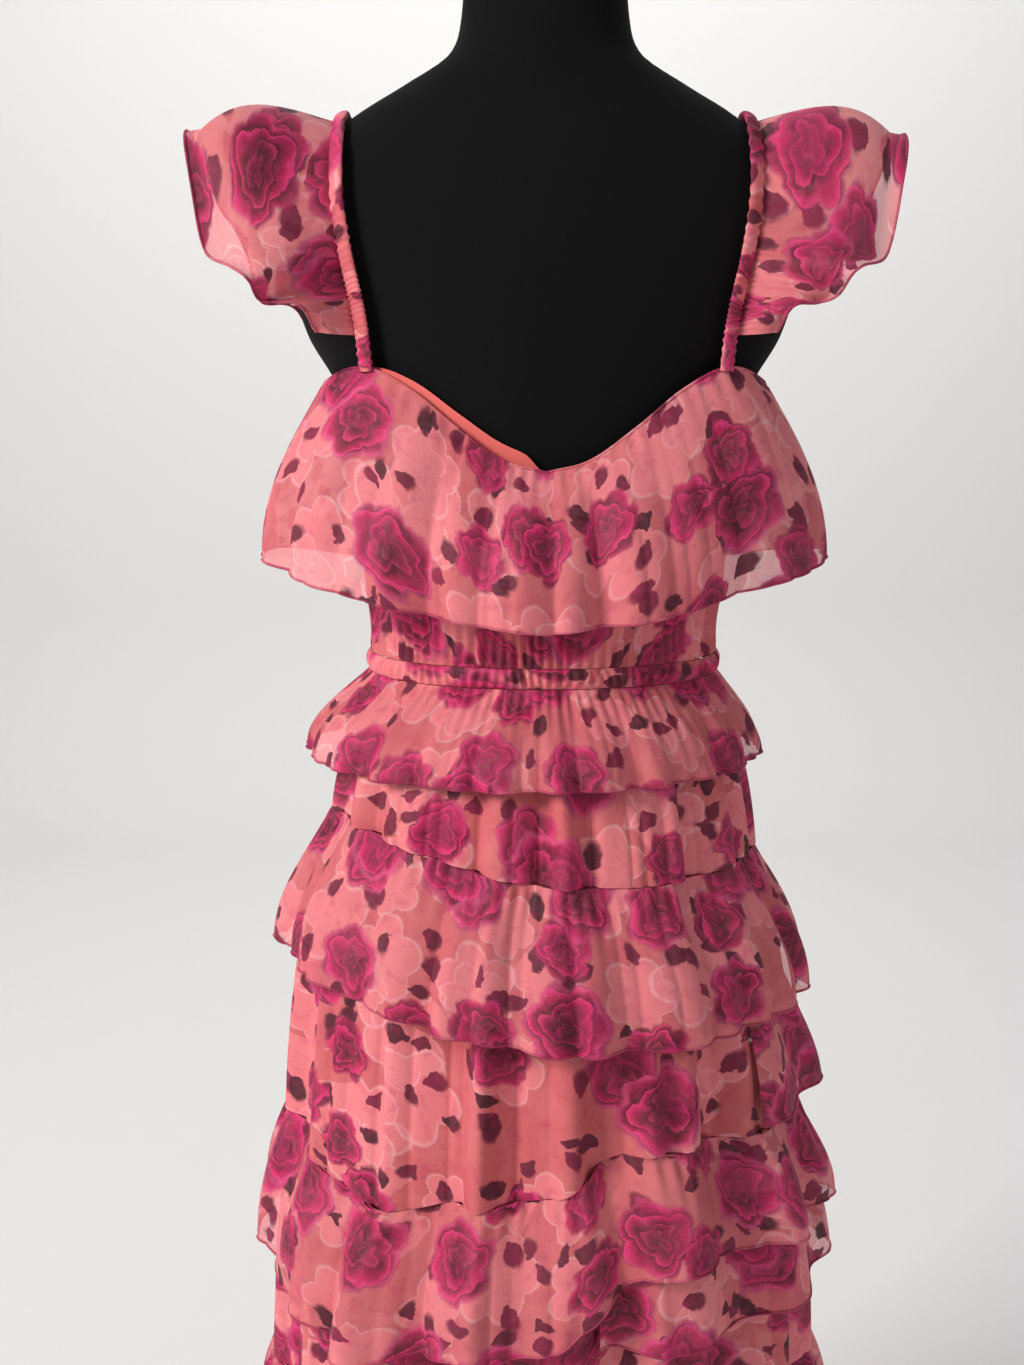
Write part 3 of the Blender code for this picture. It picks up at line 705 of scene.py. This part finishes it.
def srgb(red, green, blue):
    """Linear values of a colour given in 0 to 255."""
    shares = [value / 255 for value in (red, green, blue)]
    return tuple(v / 12.92 if v <= 0.04 else ((v + 0.055) / 1.055) ** 2.4 for v in shares)


def rgba(*colour):
    return (*srgb(*colour), 1.0)


# The print's colours
BLOSSOM_PINK = (240, 138, 144)
VEIN_PINK = (214, 96, 122)
OUTLINE_PINK = (244, 176, 178)
LEAF_DARK = (46, 2, 24)
LEAF_LIGHT = (118, 8, 54)
ROSE_HEART = (50, 1, 24)
ROSE_BLOT = (206, 46, 108)
ROSE_RIM = (226, 92, 142)
HEM_TINT = (150, 34, 78)
WEAVE_TINT = (255, 214, 212)
WASH_TINT = (186, 40, 96)
PETAL_SHADES = [
    (0.00, (74, 2, 30)), (0.28, (126, 4, 52)), (0.70, (178, 14, 80)), (0.93, (216, 46, 112)),
    (1.00, (84, 3, 36)),
]
# The print's scattered cells: seed, spacing, then the blossom's size
BLOSSOMS = [(3.1, 0.060, 0.026), (7.7, 0.074, 0.031)]
# Seed, spacing, then the leaf's length and width
LEAVES = [(1.3, 0.030, 0.0120, 0.0042), (5.9, 0.041, 0.0150, 0.0050), (12.4, 0.050, 0.0130, 0.0062)]
# Seed, spacing, the rose's size, then the share of cells that stay empty
ROSES = [(2.2, 0.066, 0.0265, 0.22), (9.4, 0.088, 0.0300, 0.30)]


def cell_polar(n, place, spacing, seed, jitter):
    """Scattered cells: distance and turn from each cell's own centre in metres, and its random colour."""
    moved = n.vector("ADD", place, (seed, seed * 0.7, 0.0))
    cells = n.add("ShaderNodeTexVoronoi", voronoi_dimensions="2D", feature="F1")
    n.put(cells.inputs["Vector"], moved)
    cells.inputs["Scale"].default_value = 1 / spacing
    cells.inputs["Randomness"].default_value = jitter
    local = n.vector("SUBTRACT", moved, cells.outputs["Position"])
    parts = n.add("ShaderNodeSeparateXYZ")
    n.put(parts.inputs[0], local)
    pick = n.add("ShaderNodeSeparateColor")
    n.put(pick.inputs[0], cells.outputs["Color"])
    turn = n.maths("ARCTAN2", parts.outputs[1], parts.outputs[0])
    turn = n.maths("ADD", turn, n.times(pick.outputs[0], 6.2832))
    return n.vector("LENGTH", local), turn, pick.outputs


def add_blossoms(n, colour, see, place, opacity):
    """Pale blossoms with a fine light outline."""
    for seed, spacing, size in BLOSSOMS:
        far, turn, pick = cell_polar(n, place, spacing, seed, 0.85)
        lobes = n.maths("ABSOLUTE", n.maths("SINE", n.times(turn, 2.5)))
        edge = n.maths("MULTIPLY_ADD", lobes, size * 0.30, size * 0.72)
        edge = n.times(edge, n.maths("MULTIPLY_ADD", pick[1], 0.5, 0.75))
        ratio = n.maths("DIVIDE", far, edge)
        there = n.maths("GREATER_THAN", pick[2], 0.30)
        inside = n.times(n.between(ratio, 1.03, 0.96), there)
        line = n.times(n.times(n.between(ratio, 0.93, 0.98), n.between(ratio, 1.06, 1.01)), there)
        inner = n.maths("ABSOLUTE", n.maths("SINE", n.maths("MULTIPLY_ADD", turn, 2.5, 0.8)))
        veins = n.times(n.between(inner, 0.16, 0.05), n.between(ratio, 0.95, 0.6))
        colour = n.mix(n.times(inside, 0.50), colour, rgba(*BLOSSOM_PINK))
        colour = n.mix(n.times(n.times(veins, inside), 0.30), colour, rgba(*VEIN_PINK))
        colour = n.mix(n.times(line, 0.55), colour, rgba(*OUTLINE_PINK))
        see = n.maths("MAXIMUM", see, n.times(inside, min(opacity + 0.10, 0.97)))
    return colour, see


def add_leaves(n, colour, see, place):
    """Loose leaves and buds."""
    for seed, spacing, length, width in LEAVES:
        far, turn, pick = cell_polar(n, place, spacing, seed, 1.0)
        slim = n.maths("MAXIMUM", n.maths("COSINE", turn), 0.0)
        edge = n.maths("MULTIPLY_ADD", n.maths("POWER", slim, 2.2), length, width * 0.55)
        ratio = n.maths("DIVIDE", far, edge)
        there = n.maths("GREATER_THAN", pick[2], 0.50)
        inside = n.times(n.between(ratio, 1.10, 0.80), there)
        tone = n.mix(pick[1], rgba(*LEAF_DARK), rgba(*LEAF_LIGHT))
        colour = n.mix(n.times(inside, 0.95), colour, tone)
        see = n.maths("MAXIMUM", see, n.times(inside, 0.99))
    return colour, see


def rose_shade(n, ratio, turn, pick, cloudy, grain):
    """The petals' colour: bands that swirl out from a dark heart to a bright rim."""
    curl = n.times(n.maths("SINE", n.maths("MULTIPLY_ADD", turn, 3.0, n.times(ratio, 5.0))), 0.34)
    swirl = n.maths("MULTIPLY_ADD", n.maths("POWER", ratio, 0.75), 3.4, curl)
    swirl = n.maths("ADD", swirl, n.times(turn, 0.15915))
    petal = n.maths("FRACT", n.maths("ADD", swirl, n.times(grain, 0.28)))
    shade = n.ramp(petal, [(at, srgb(*colour)) for at, colour in PETAL_SHADES])
    heart = n.between(ratio, 0.80, 0.18)
    shade = n.mix(n.times(heart, 0.66), shade, rgba(*ROSE_HEART))
    blot = n.between(cloudy, 0.40, 0.62)
    shade = n.mix(n.times(blot, 0.30), shade, rgba(*ROSE_BLOT))
    rim = n.times(n.between(ratio, 0.78, 0.95), n.times(pick[1], 0.55))
    return n.mix(rim, shade, rgba(*ROSE_RIM))


def add_roses(n, colour, see, place, cloudy, grain):
    """Roses with ruffled outlines."""
    for seed, spacing, size, empty in ROSES:
        far, turn, pick = cell_polar(n, place, spacing, seed, 0.72)
        ruffled = n.maths("ABSOLUTE", n.maths("SINE", n.times(turn, 3.0)))
        edge = n.maths("MULTIPLY_ADD", ruffled, size * 0.17, size * 0.80)
        edge = n.times(edge, n.maths("MULTIPLY_ADD", pick[1], 0.42, 0.76))
        ratio = n.maths("DIVIDE", far, edge)
        there = n.maths("GREATER_THAN", pick[2], empty)
        inside = n.times(n.between(ratio, 1.06, 0.90), there)
        colour = n.mix(n.times(inside, 0.94), colour, rose_shade(n, ratio, turn, pick, cloudy, grain))
        see = n.maths("MAXIMUM", see, n.times(inside, 0.99))
    return colour, see


def add_weave(n, uv):
    """The cloth's weave and its fine crinkle, as a bump."""
    weave = n.add("ShaderNodeTexWave", wave_type="BANDS", bands_direction="DIAGONAL")
    n.put(weave.inputs["Vector"], uv)
    weave.inputs["Scale"].default_value = 420.0
    bump = n.add("ShaderNodeBump")
    bump.inputs["Strength"].default_value = 0.10
    bump.inputs["Distance"].default_value = 0.0004
    crinkle = n.noise(uv, 120.0, 3.0, 0.6).outputs["Fac"]
    n.put(bump.inputs["Height"], n.maths("MULTIPLY_ADD", crinkle, 2.0, weave.outputs["Fac"]))
    n.put(n.shader.inputs["Normal"], bump.outputs[0])


def print_cloth(name, ground, opacity, hem=False):
    """Sheer cloth with scattered roses, pale blossoms and dark leaves on a dusty pink ground."""
    n = Nodes(name)
    uv = n.add("ShaderNodeUVMap", uv_map="UVMap").outputs[0]
    warp = n.noise(uv, 42.0, 3.0, 0.6)
    shift = n.vector("SUBTRACT", warp.outputs["Color"], (0.5, 0.5, 0.5))
    place = n.vector("ADD", uv, n.vector("SCALE", shift, scale=0.0125))
    soft = n.vector("ADD", uv, n.vector("SCALE", shift, scale=0.0050))
    cloudy = n.noise(uv, 26.0, 4.0, 0.55).outputs["Fac"]
    grain = n.noise(uv, 260.0, 3.0, 0.7).outputs["Fac"]
    paler = rgba(ground[0] + 8, ground[1] + 14, ground[2] + 12)
    colour = n.mix(n.between(cloudy, 0.35, 0.68), rgba(*ground), paler)
    colour, see = add_blossoms(n, colour, opacity, soft, opacity)
    colour, see = add_leaves(n, colour, see, place)
    colour, see = add_roses(n, colour, see, place, cloudy, grain)
    if hem:
        colour = n.mix(0.45, colour, rgba(*HEM_TINT))
    # A little unevenness of the cloth and of the dye
    colour = n.mix(n.times(grain, 0.05), colour, rgba(*WEAVE_TINT))
    wash = n.noise(place, 95.0, 3.0, 0.6).outputs["Fac"]
    colour = n.mix(n.between(wash, 0.50, 0.78, 0.0, 0.30), colour, rgba(*WASH_TINT))
    add_weave(n, uv)
    n.put(n.shader.inputs["Base Color"], colour)
    n.put(n.shader.inputs["Alpha"], see)
    n.shader.inputs["Roughness"].default_value = 0.62
    n.shader.inputs["Sheen Weight"].default_value = 0.03
    n.shader.inputs["Sheen Roughness"].default_value = 0.45
    n.shader.inputs["Sheen Tint"].default_value = (1.0, 0.78, 0.80, 1.0)
    n.shader.inputs["Specular IOR Level"].default_value = 0.12
    return n.material


def plain_cloth(name, colour, roughness, sheen, scale, bump_strength):
    n = Nodes(name)
    place = n.add("ShaderNodeTexCoord").outputs["Object"]
    noise = n.add("ShaderNodeTexNoise")
    n.put(noise.inputs["Vector"], place)
    noise.inputs["Scale"].default_value = scale
    noise.inputs["Detail"].default_value = 3.0
    darker = tuple(v * 0.72 for v in srgb(*colour))
    n.put(n.shader.inputs["Base Color"], n.mix(noise.outputs["Fac"], (*darker, 1.0), rgba(*colour)))
    bump = n.add("ShaderNodeBump")
    bump.inputs["Strength"].default_value = bump_strength
    bump.inputs["Distance"].default_value = 0.0005
    n.put(bump.inputs["Height"], noise.outputs["Fac"])
    n.put(n.shader.inputs["Normal"], bump.outputs[0])
    n.shader.inputs["Roughness"].default_value = roughness
    n.shader.inputs["Sheen Weight"].default_value = sheen
    n.shader.inputs["Specular IOR Level"].default_value = 0.12
    return n.material


def metal_paint(name):
    n = Nodes(name)
    n.shader.inputs["Base Color"].default_value = (0.012, 0.012, 0.013, 1.0)
    n.shader.inputs["Roughness"].default_value = 0.38
    return n.material


chiffon = print_cloth("rose_print", (212, 99, 104), 0.84)
sheer = print_cloth("rose_print_single", (216, 106, 112), 0.73)
hem_cloth = print_cloth("rose_print_hem", (196, 84, 104), 0.93, hem=True)
coral = plain_cloth("coral", (238, 112, 106), 0.42, 0.2, 900.0, 0.05)
jersey = plain_cloth("jersey", (15, 14, 15), 0.95, 0.02, 1400.0, 0.25)
paint = metal_paint("stand_paint")


def closed_end(row):
    """Rows that draw a ring in to its middle."""
    middle = row.mean(axis=0)
    return np.stack([middle + (row - middle) * share for share in (0.985, 0.6, 0.001)])


def make_form():
    heights = np.unique(np.concatenate([np.linspace(FORM_LOW, FORM_TOP, 150), FORM_SECTIONS[:, 0]]))
    angles = np.linspace(-180, 180, FORM_COLUMNS + 1)
    height = np.broadcast_to(heights[:, None], (len(heights), len(angles)))
    angle = np.broadcast_to(angles, height.shape)
    radius = form_radius(angle, height)
    turn = np.radians(angle)
    grid = np.stack([np.sin(turn) * radius, -np.cos(turn) * radius, height], axis=2)[::-1]
    grid = np.concatenate([closed_end(grid[0])[::-1], grid, closed_end(grid[-1])])
    across = np.broadcast_to(np.linspace(0, 1, len(angles)), grid.shape[:2])
    uv = np.stack([across, grid[..., 2]], axis=2)
    finished(grid_object("torso", grid, uv, jersey), "black_jersey", ["form_torso"])


def inside_form(point):
    angle = math.degrees(math.atan2(point[0], -point[1]))
    radius = float(form_radius(np.array(angle), np.array(point[2])))
    return math.hypot(point[0], point[1]) < radius and FORM_LOW < point[2] < FORM_TOP


def strap_centre(side, station):
    """The form's surface under the strap, found by halving along a ray from the hub."""
    x = side * float(eased(STRAP_ROUTE, station, 1))
    turn = math.radians(float(eased(STRAP_ROUTE, station, 2)))
    way = np.array([0.0, -math.cos(turn), math.sin(turn)])
    hub = np.array([x * STRAP_HUB_SHARE, 0.0, STRAP_HUB_HEIGHT])
    target = np.array([(x - hub[0]) / STRAP_HUB_REACH, 0.0, 0.0])
    low, high = 0.0, SEARCH_REACH
    for _ in range(SEARCH_STEPS):
        middle = (low + high) / 2
        if inside_form(hub + way * middle + target * min(middle, STRAP_HUB_REACH)):
            low = middle
        else:
            high = middle
    return hub + way * low + target * min(low, STRAP_HUB_REACH)


def resampled(points, count):
    """A smooth curve through the points, read at evenly spaced stations."""
    last = len(points) - 1
    at = np.linspace(0, last, count)
    k = np.clip(at.astype(int), 0, last - 1)
    t = (at - k)[:, None]
    p0, p1, p2, p3 = (points[np.clip(k + step, 0, last)] for step in (-1, 0, 1, 2))
    curve = 2 * p1 + (p2 - p0) * t + (2 * p0 - 5 * p1 + 4 * p2 - p3) * t**2
    return 0.5 * (curve + (3 * p1 - p0 - 3 * p2 + p3) * t**3)


def strap_frames(side, count):
    """The strap's middle line and its directions along, across and off the form."""
    raw = np.array([strap_centre(side, k / 18) for k in range(19)])
    centres = raw.copy()
    centres[1:-1] = (raw[:-2] + raw[1:-1] * 6 + raw[2:]) / 8
    centres = resampled(centres, count)
    along = np.gradient(centres, axis=0)
    along /= np.linalg.norm(along, axis=1)[:, None]
    level_line = 0 * centres[:, 0]
    inner = np.stack([centres[:, 0] * STRAP_LEAN_SHARE, level_line, level_line + STRAP_LEAN_HEIGHT], axis=1)
    away = centres - inner
    across = np.cross(along, away)
    across /= np.linalg.norm(across, axis=1)[:, None]
    across *= np.sign(across[:, :1] * side)
    lift = np.cross(across, along)
    lift *= np.sign((lift * away).sum(axis=1))[:, None]
    return centres + lift * (STRAP_HALF_THICKNESS + STRAP_OFF_FORM), along, across, lift


def small_waves(pick, at, low, high, terms):
    """A sum of sine waves along a line, each with its own count from low to high."""
    turn = 2 * np.pi * at
    return sum(np.sin(pick.integers(low, high) * turn + pick.uniform(0, 6.28)) for _ in range(terms))


def make_strap(name, side, seed):
    count, sides = 320, 16
    centres, _, across, lift = strap_frames(side, count)
    length = np.linspace(0, 1, count)
    pucker = small_waves(np.random.default_rng(seed), length, 44, 70, 5) / 4
    grid, uv = [], []
    for t in np.linspace(0, 2 * np.pi, sides + 1):
        wide = STRAP_HALF_WIDTH * (1.0 + 0.10 * pucker * (1 + 0.3 * math.cos(3 * t)))
        deep = STRAP_HALF_THICKNESS * (1.15 + 0.38 * pucker)
        grid.append(centres + across * (math.cos(t) * wide)[:, None] + lift * (math.sin(t) * deep)[:, None])
        uv.append(np.stack([0.30 * length * 1.8 + seed * 0.37, 0 * length + t * 0.0045], axis=1))
    grid = np.array(grid)
    # Both ends are drawn down to the neckline
    low = neckline(np.degrees(np.arctan2(grid[..., 0], -grid[..., 1]))) - 0.002
    for end, away in ((0, length), (-1, 1 - length)):
        share = np.clip(1 - away / 0.10, 0.0, 1.0)[None, :] ** 2
        grid[..., 2] += share * (low[:, end] - grid[:, end, 2]).mean()
    return finished(grid_object(name + "_cloth", grid, np.array(uv), chiffon), "rose_print_chiffon", [name])


def frames_at(side, stations):
    """The strap's line and directions at the given shares of its length."""
    index = stations * STRAP_STATIONS
    k = np.clip(index.astype(int), 0, STRAP_STATIONS - 1)
    t = (index - k)[:, None]
    return [v[k] * (1 - t) + v[k + 1] * t for v in strap_frames(side, STRAP_STATIONS + 1)]


def off_body(point, share):
    """Move a flutter's row out of the form and above the neckline."""
    angle = np.degrees(np.arctan2(point[:, 0], -point[:, 1]))
    reach = np.hypot(point[:, 0], point[:, 1])
    least = form_radius(angle, point[:, 2]) + 0.004 + 0.012 * share
    grow = np.where((point[:, 2] < SHOULDER_HEIGHT) & (reach < least), least / reach, 1.0)
    point[:, :2] *= grow[:, None]
    point[:, 2] = np.maximum(point[:, 2], neckline(angle) + 0.010)
    return point


def make_flutter(name, side, look, seed, with_strap):
    count, rows = 190, 20
    stations = np.linspace(2 / 30, 28 / 30, count)
    centre, tangent, side_way, up_way = frames_at(side, stations)
    width = eased(FLUTTER, stations, 1)
    outwards, back, up = (eased(FLUTTER, stations, column) for column in (2, 3, 4))
    way = np.stack([side * outwards, -back, up], axis=1)
    way /= np.linalg.norm(way, axis=1)[:, None]
    root = centre + side_way * (STRAP_HALF_WIDTH + FLUTTER_GAP)
    swing = np.cross(way, tangent)
    swing /= np.linalg.norm(swing, axis=1)[:, None]
    swing *= np.where(swing[:, 2:] < 0, -1.0, 1.0)
    phase = 0.40 if side > 0 else 0.39
    rippled = np.sin(2 * np.pi * (6.0 * stations + phase))
    pick = np.random.default_rng(seed)
    fine = small_waves(pick, stations, 36, 62, 6) / 6
    mid = small_waves(pick, stations, 9, 17, 5) / 5
    middle = np.sin(np.pi * stations)
    grid, uv = [], []
    for share in np.linspace(0, 1, rows):
        arch = 0.018 * math.sin(math.pi * min(share * 1.1, 1.0)) * middle
        point = root + way * (width * share)[:, None] + up_way * arch[:, None]
        move = 0.018 * rippled * share * middle
        move = move + 0.0022 * fine * math.exp(-((share / 0.22) ** 1.2)) * min(share / 0.06, 1.0)
        move = move + 0.0050 * mid * share * np.minimum(width / 0.08, 1.0)
        grid.append(off_body(point + swing * move[:, None], share))
        uv.append(np.stack([0.46 * stations + seed * 0.61, share * width * 1.05 + seed * 0.23], axis=1))
    grid, uv = np.array(grid), np.array(uv)
    piece = finished(grid_object(name + "_cloth", grid, uv, look), "rose_print_chiffon", [name])
    roll = tube_object(name + "_hem", grid[-1], HEM_ROLL, uv[-1], hem_cloth)
    declare(piece, grid, "hung", [with_strap.name], [finished(roll, "rose_print_chiffon")])


def make_top():
    """The lining, the bodice, the flounce and the waist casing."""
    ring("slip", lining_radius, lining_high, level(LINING_HEM), 90, coral, ["lining_back", "lining_front"],
         "hung", ["torso"], (0, 0), columns=300, slot="coral_lining")
    ring("bodice_cloth", bodice_shape, neckline, level(WAIST_TOP + SEAM_GAP), 60, chiffon,
         ["bodice_back", "bodice_front"], "gathered", ["slip"], (0.31, 0.45), columns=720)
    ring("flounce_cloth", flounce_shape, neckline, flounce_low, 40, sheer,
         ["flounce_back", "flounce_front"], "hung", ["bodice_cloth"], (0.145, 2.37),
         hem=hem_cloth, hem_top=True)
    ring("casing_cloth", casing_shape, level(WAIST_TOP), level(WAIST_LOW), 14, chiffon,
         ["waist_casing"], "gathered", ["bodice_cloth"], (0.9, 3.1), columns=900)


def above(index):
    """The piece that a panel or a ruffle is gathered into."""
    return f"panel_{index}_cloth" if index else "casing_cloth"


def make_panel(index):
    lowest = index == len(PANELS) - 1
    node = f"skirt_panel_{index + 1}"
    ring(f"panel_{index + 1}_cloth", panel_shape(index), lambda a: panel_high(index, a) - SEAM_GAP,
         lambda a: panel_low(index, a), 44, chiffon, [node + "_back", node + "_front"], "gathered",
         [above(index)], (0.13 + 0.21 * index, 4.0 + 0.37 * index),
         columns=720, hem=hem_cloth if lowest else None)


def make_ruffle(index):
    node = f"ruffle_{index}" if index else "waist_ruffle"
    ring(node + "_cloth", ruffle_shape(index), lambda a: ruffle_high(index, a),
         lambda a: ruffle_low(index, a), 30, sheer, [node], "gathered",
         [above(index)], (0.57 + 0.33 * index, 7.0 + 0.29 * index), columns=720, hem=hem_cloth)


def make_side_ruffle(index):
    node, high, low, first, last, _ = SIDE_RUFFLES[index]
    ring(node + "_cloth", side_ruffle_radius(SIDE_RUFFLES[index]), level(high), level(low), 20, sheer, [node],
         "gathered", [above(2 + index)], (0.2 + index, 9.3 + index), first=first, last=last, columns=220,
         hem=hem_cloth)


def paint_stand():
    for node in ("stand_pole", "stand_base"):
        kept = frame["nodes"][node]
        kept.data.materials.clear()
        kept.data.materials.append(paint)
        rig.slot(kept, "black_metal")


make_form()
make_top()
for k in range(len(PANELS)):
    make_panel(k)
for k in range(len(RUFFLES)):
    make_ruffle(k)
for k in range(len(SIDE_RUFFLES)):
    make_side_ruffle(k)
for side, word in ((-1, "left"), (1, "right")):
    strap = make_strap("strap_" + word, side, 4 + side)
    make_flutter("flutter_" + word, side, sheer, 14 + side, strap)
paint_stand()


FLOOR_START = -6.0
FLOOR_HALF_WIDTH = 7.0
WALL_FOOT = 3.0
WALL_TOP = 5.0
COVE_RADIUS = 0.6
COVE_STEPS = 12
CAMERA_PLACE = (-0.0235, -1.17, 1.214)
CAMERA_DOWN_DEGREES = 10.26
LENS_MM = 41.14
SENSOR_MM = 36.0
WORLD_LIGHT = 0.30


def backdrop():
    """A floor that runs up into a wall behind the object."""
    profile = [(FLOOR_START, 0.0), (WALL_FOOT, 0.0)]
    for k in range(1, COVE_STEPS + 1):
        turn = math.pi / 2 * k / COVE_STEPS
        profile.append((WALL_FOOT + COVE_RADIUS * math.sin(turn), COVE_RADIUS - COVE_RADIUS * math.cos(turn)))
    profile.append((WALL_FOOT + COVE_RADIUS, WALL_TOP))
    points = [(x, y, z) for y, z in profile for x in (-FLOOR_HALF_WIDTH, FLOOR_HALF_WIDTH)]
    faces = [(2 * k, 2 * k + 1, 2 * k + 3, 2 * k + 2) for k in range(len(profile) - 1)]
    mesh = bpy.data.meshes.new("floor")
    mesh.from_pydata(points, [], faces)
    mesh.shade_smooth()
    floor = bpy.data.objects.new("floor", mesh)
    bpy.context.scene.collection.objects.link(floor)
    n = Nodes("pale_floor")
    n.shader.inputs["Base Color"].default_value = (0.80, 0.79, 0.78, 1.0)
    n.shader.inputs["Roughness"].default_value = 0.9
    mesh.materials.append(n.material)
    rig.stage(floor)


def area_light(name, place, target, size, power, colour):
    light = bpy.data.lights.new(name, "AREA")
    light.shape = "RECTANGLE"
    light.size, light.size_y = size
    light.energy = power
    light.color = colour
    made = bpy.data.objects.new(name, light)
    made.location = place
    away = np.array(place) - np.array(target)
    flat = math.hypot(away[0], away[1])
    made.rotation_euler = (math.atan2(flat, away[2]), 0.0, math.atan2(away[0], -away[1]))
    bpy.context.scene.collection.objects.link(made)
    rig.stage(made)


backdrop()
area_light("key", (-2.3, -1.5, 2.3), (0, 0, 1.0), (1.0, 1.0), 92, (1.0, 0.98, 0.96))
area_light("fill", (2.2, -1.8, 1.7), (0, 0, 0.9), (1.8, 1.8), 13, (0.97, 0.98, 1.0))
area_light("wall", (0.0, 1.6, 3.6), (0, 3.4, 1.2), (3.5, 1.0), 60, (1.0, 0.99, 0.98))
world = bpy.data.worlds.new("soft")
world.use_nodes = True
world.node_tree.nodes["Background"].inputs[0].default_value = (0.93, 0.94, 0.96, 1.0)
world.node_tree.nodes["Background"].inputs[1].default_value = WORLD_LIGHT
bpy.context.scene.world = world
bpy.context.scene.view_settings.view_transform = "Standard"

lens = bpy.data.cameras.new("camera")
lens.sensor_width = SENSOR_MM
lens.lens = LENS_MM
lens.clip_start = 0.05
camera = bpy.data.objects.new("camera", lens)
camera.location = CAMERA_PLACE
camera.rotation_euler = (math.radians(90 - CAMERA_DOWN_DEGREES), 0.0, 0.0)
bpy.context.scene.collection.objects.link(camera)
bpy.context.scene.camera = camera

end_low, end_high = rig.bounds()
with open("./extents.json", "w") as report:
    json.dump({
        "cad": [list(start_low), list(start_high)],
        "dressed": [list(end_low), list(end_high)],
        "sheets": sheets,
    }, report)
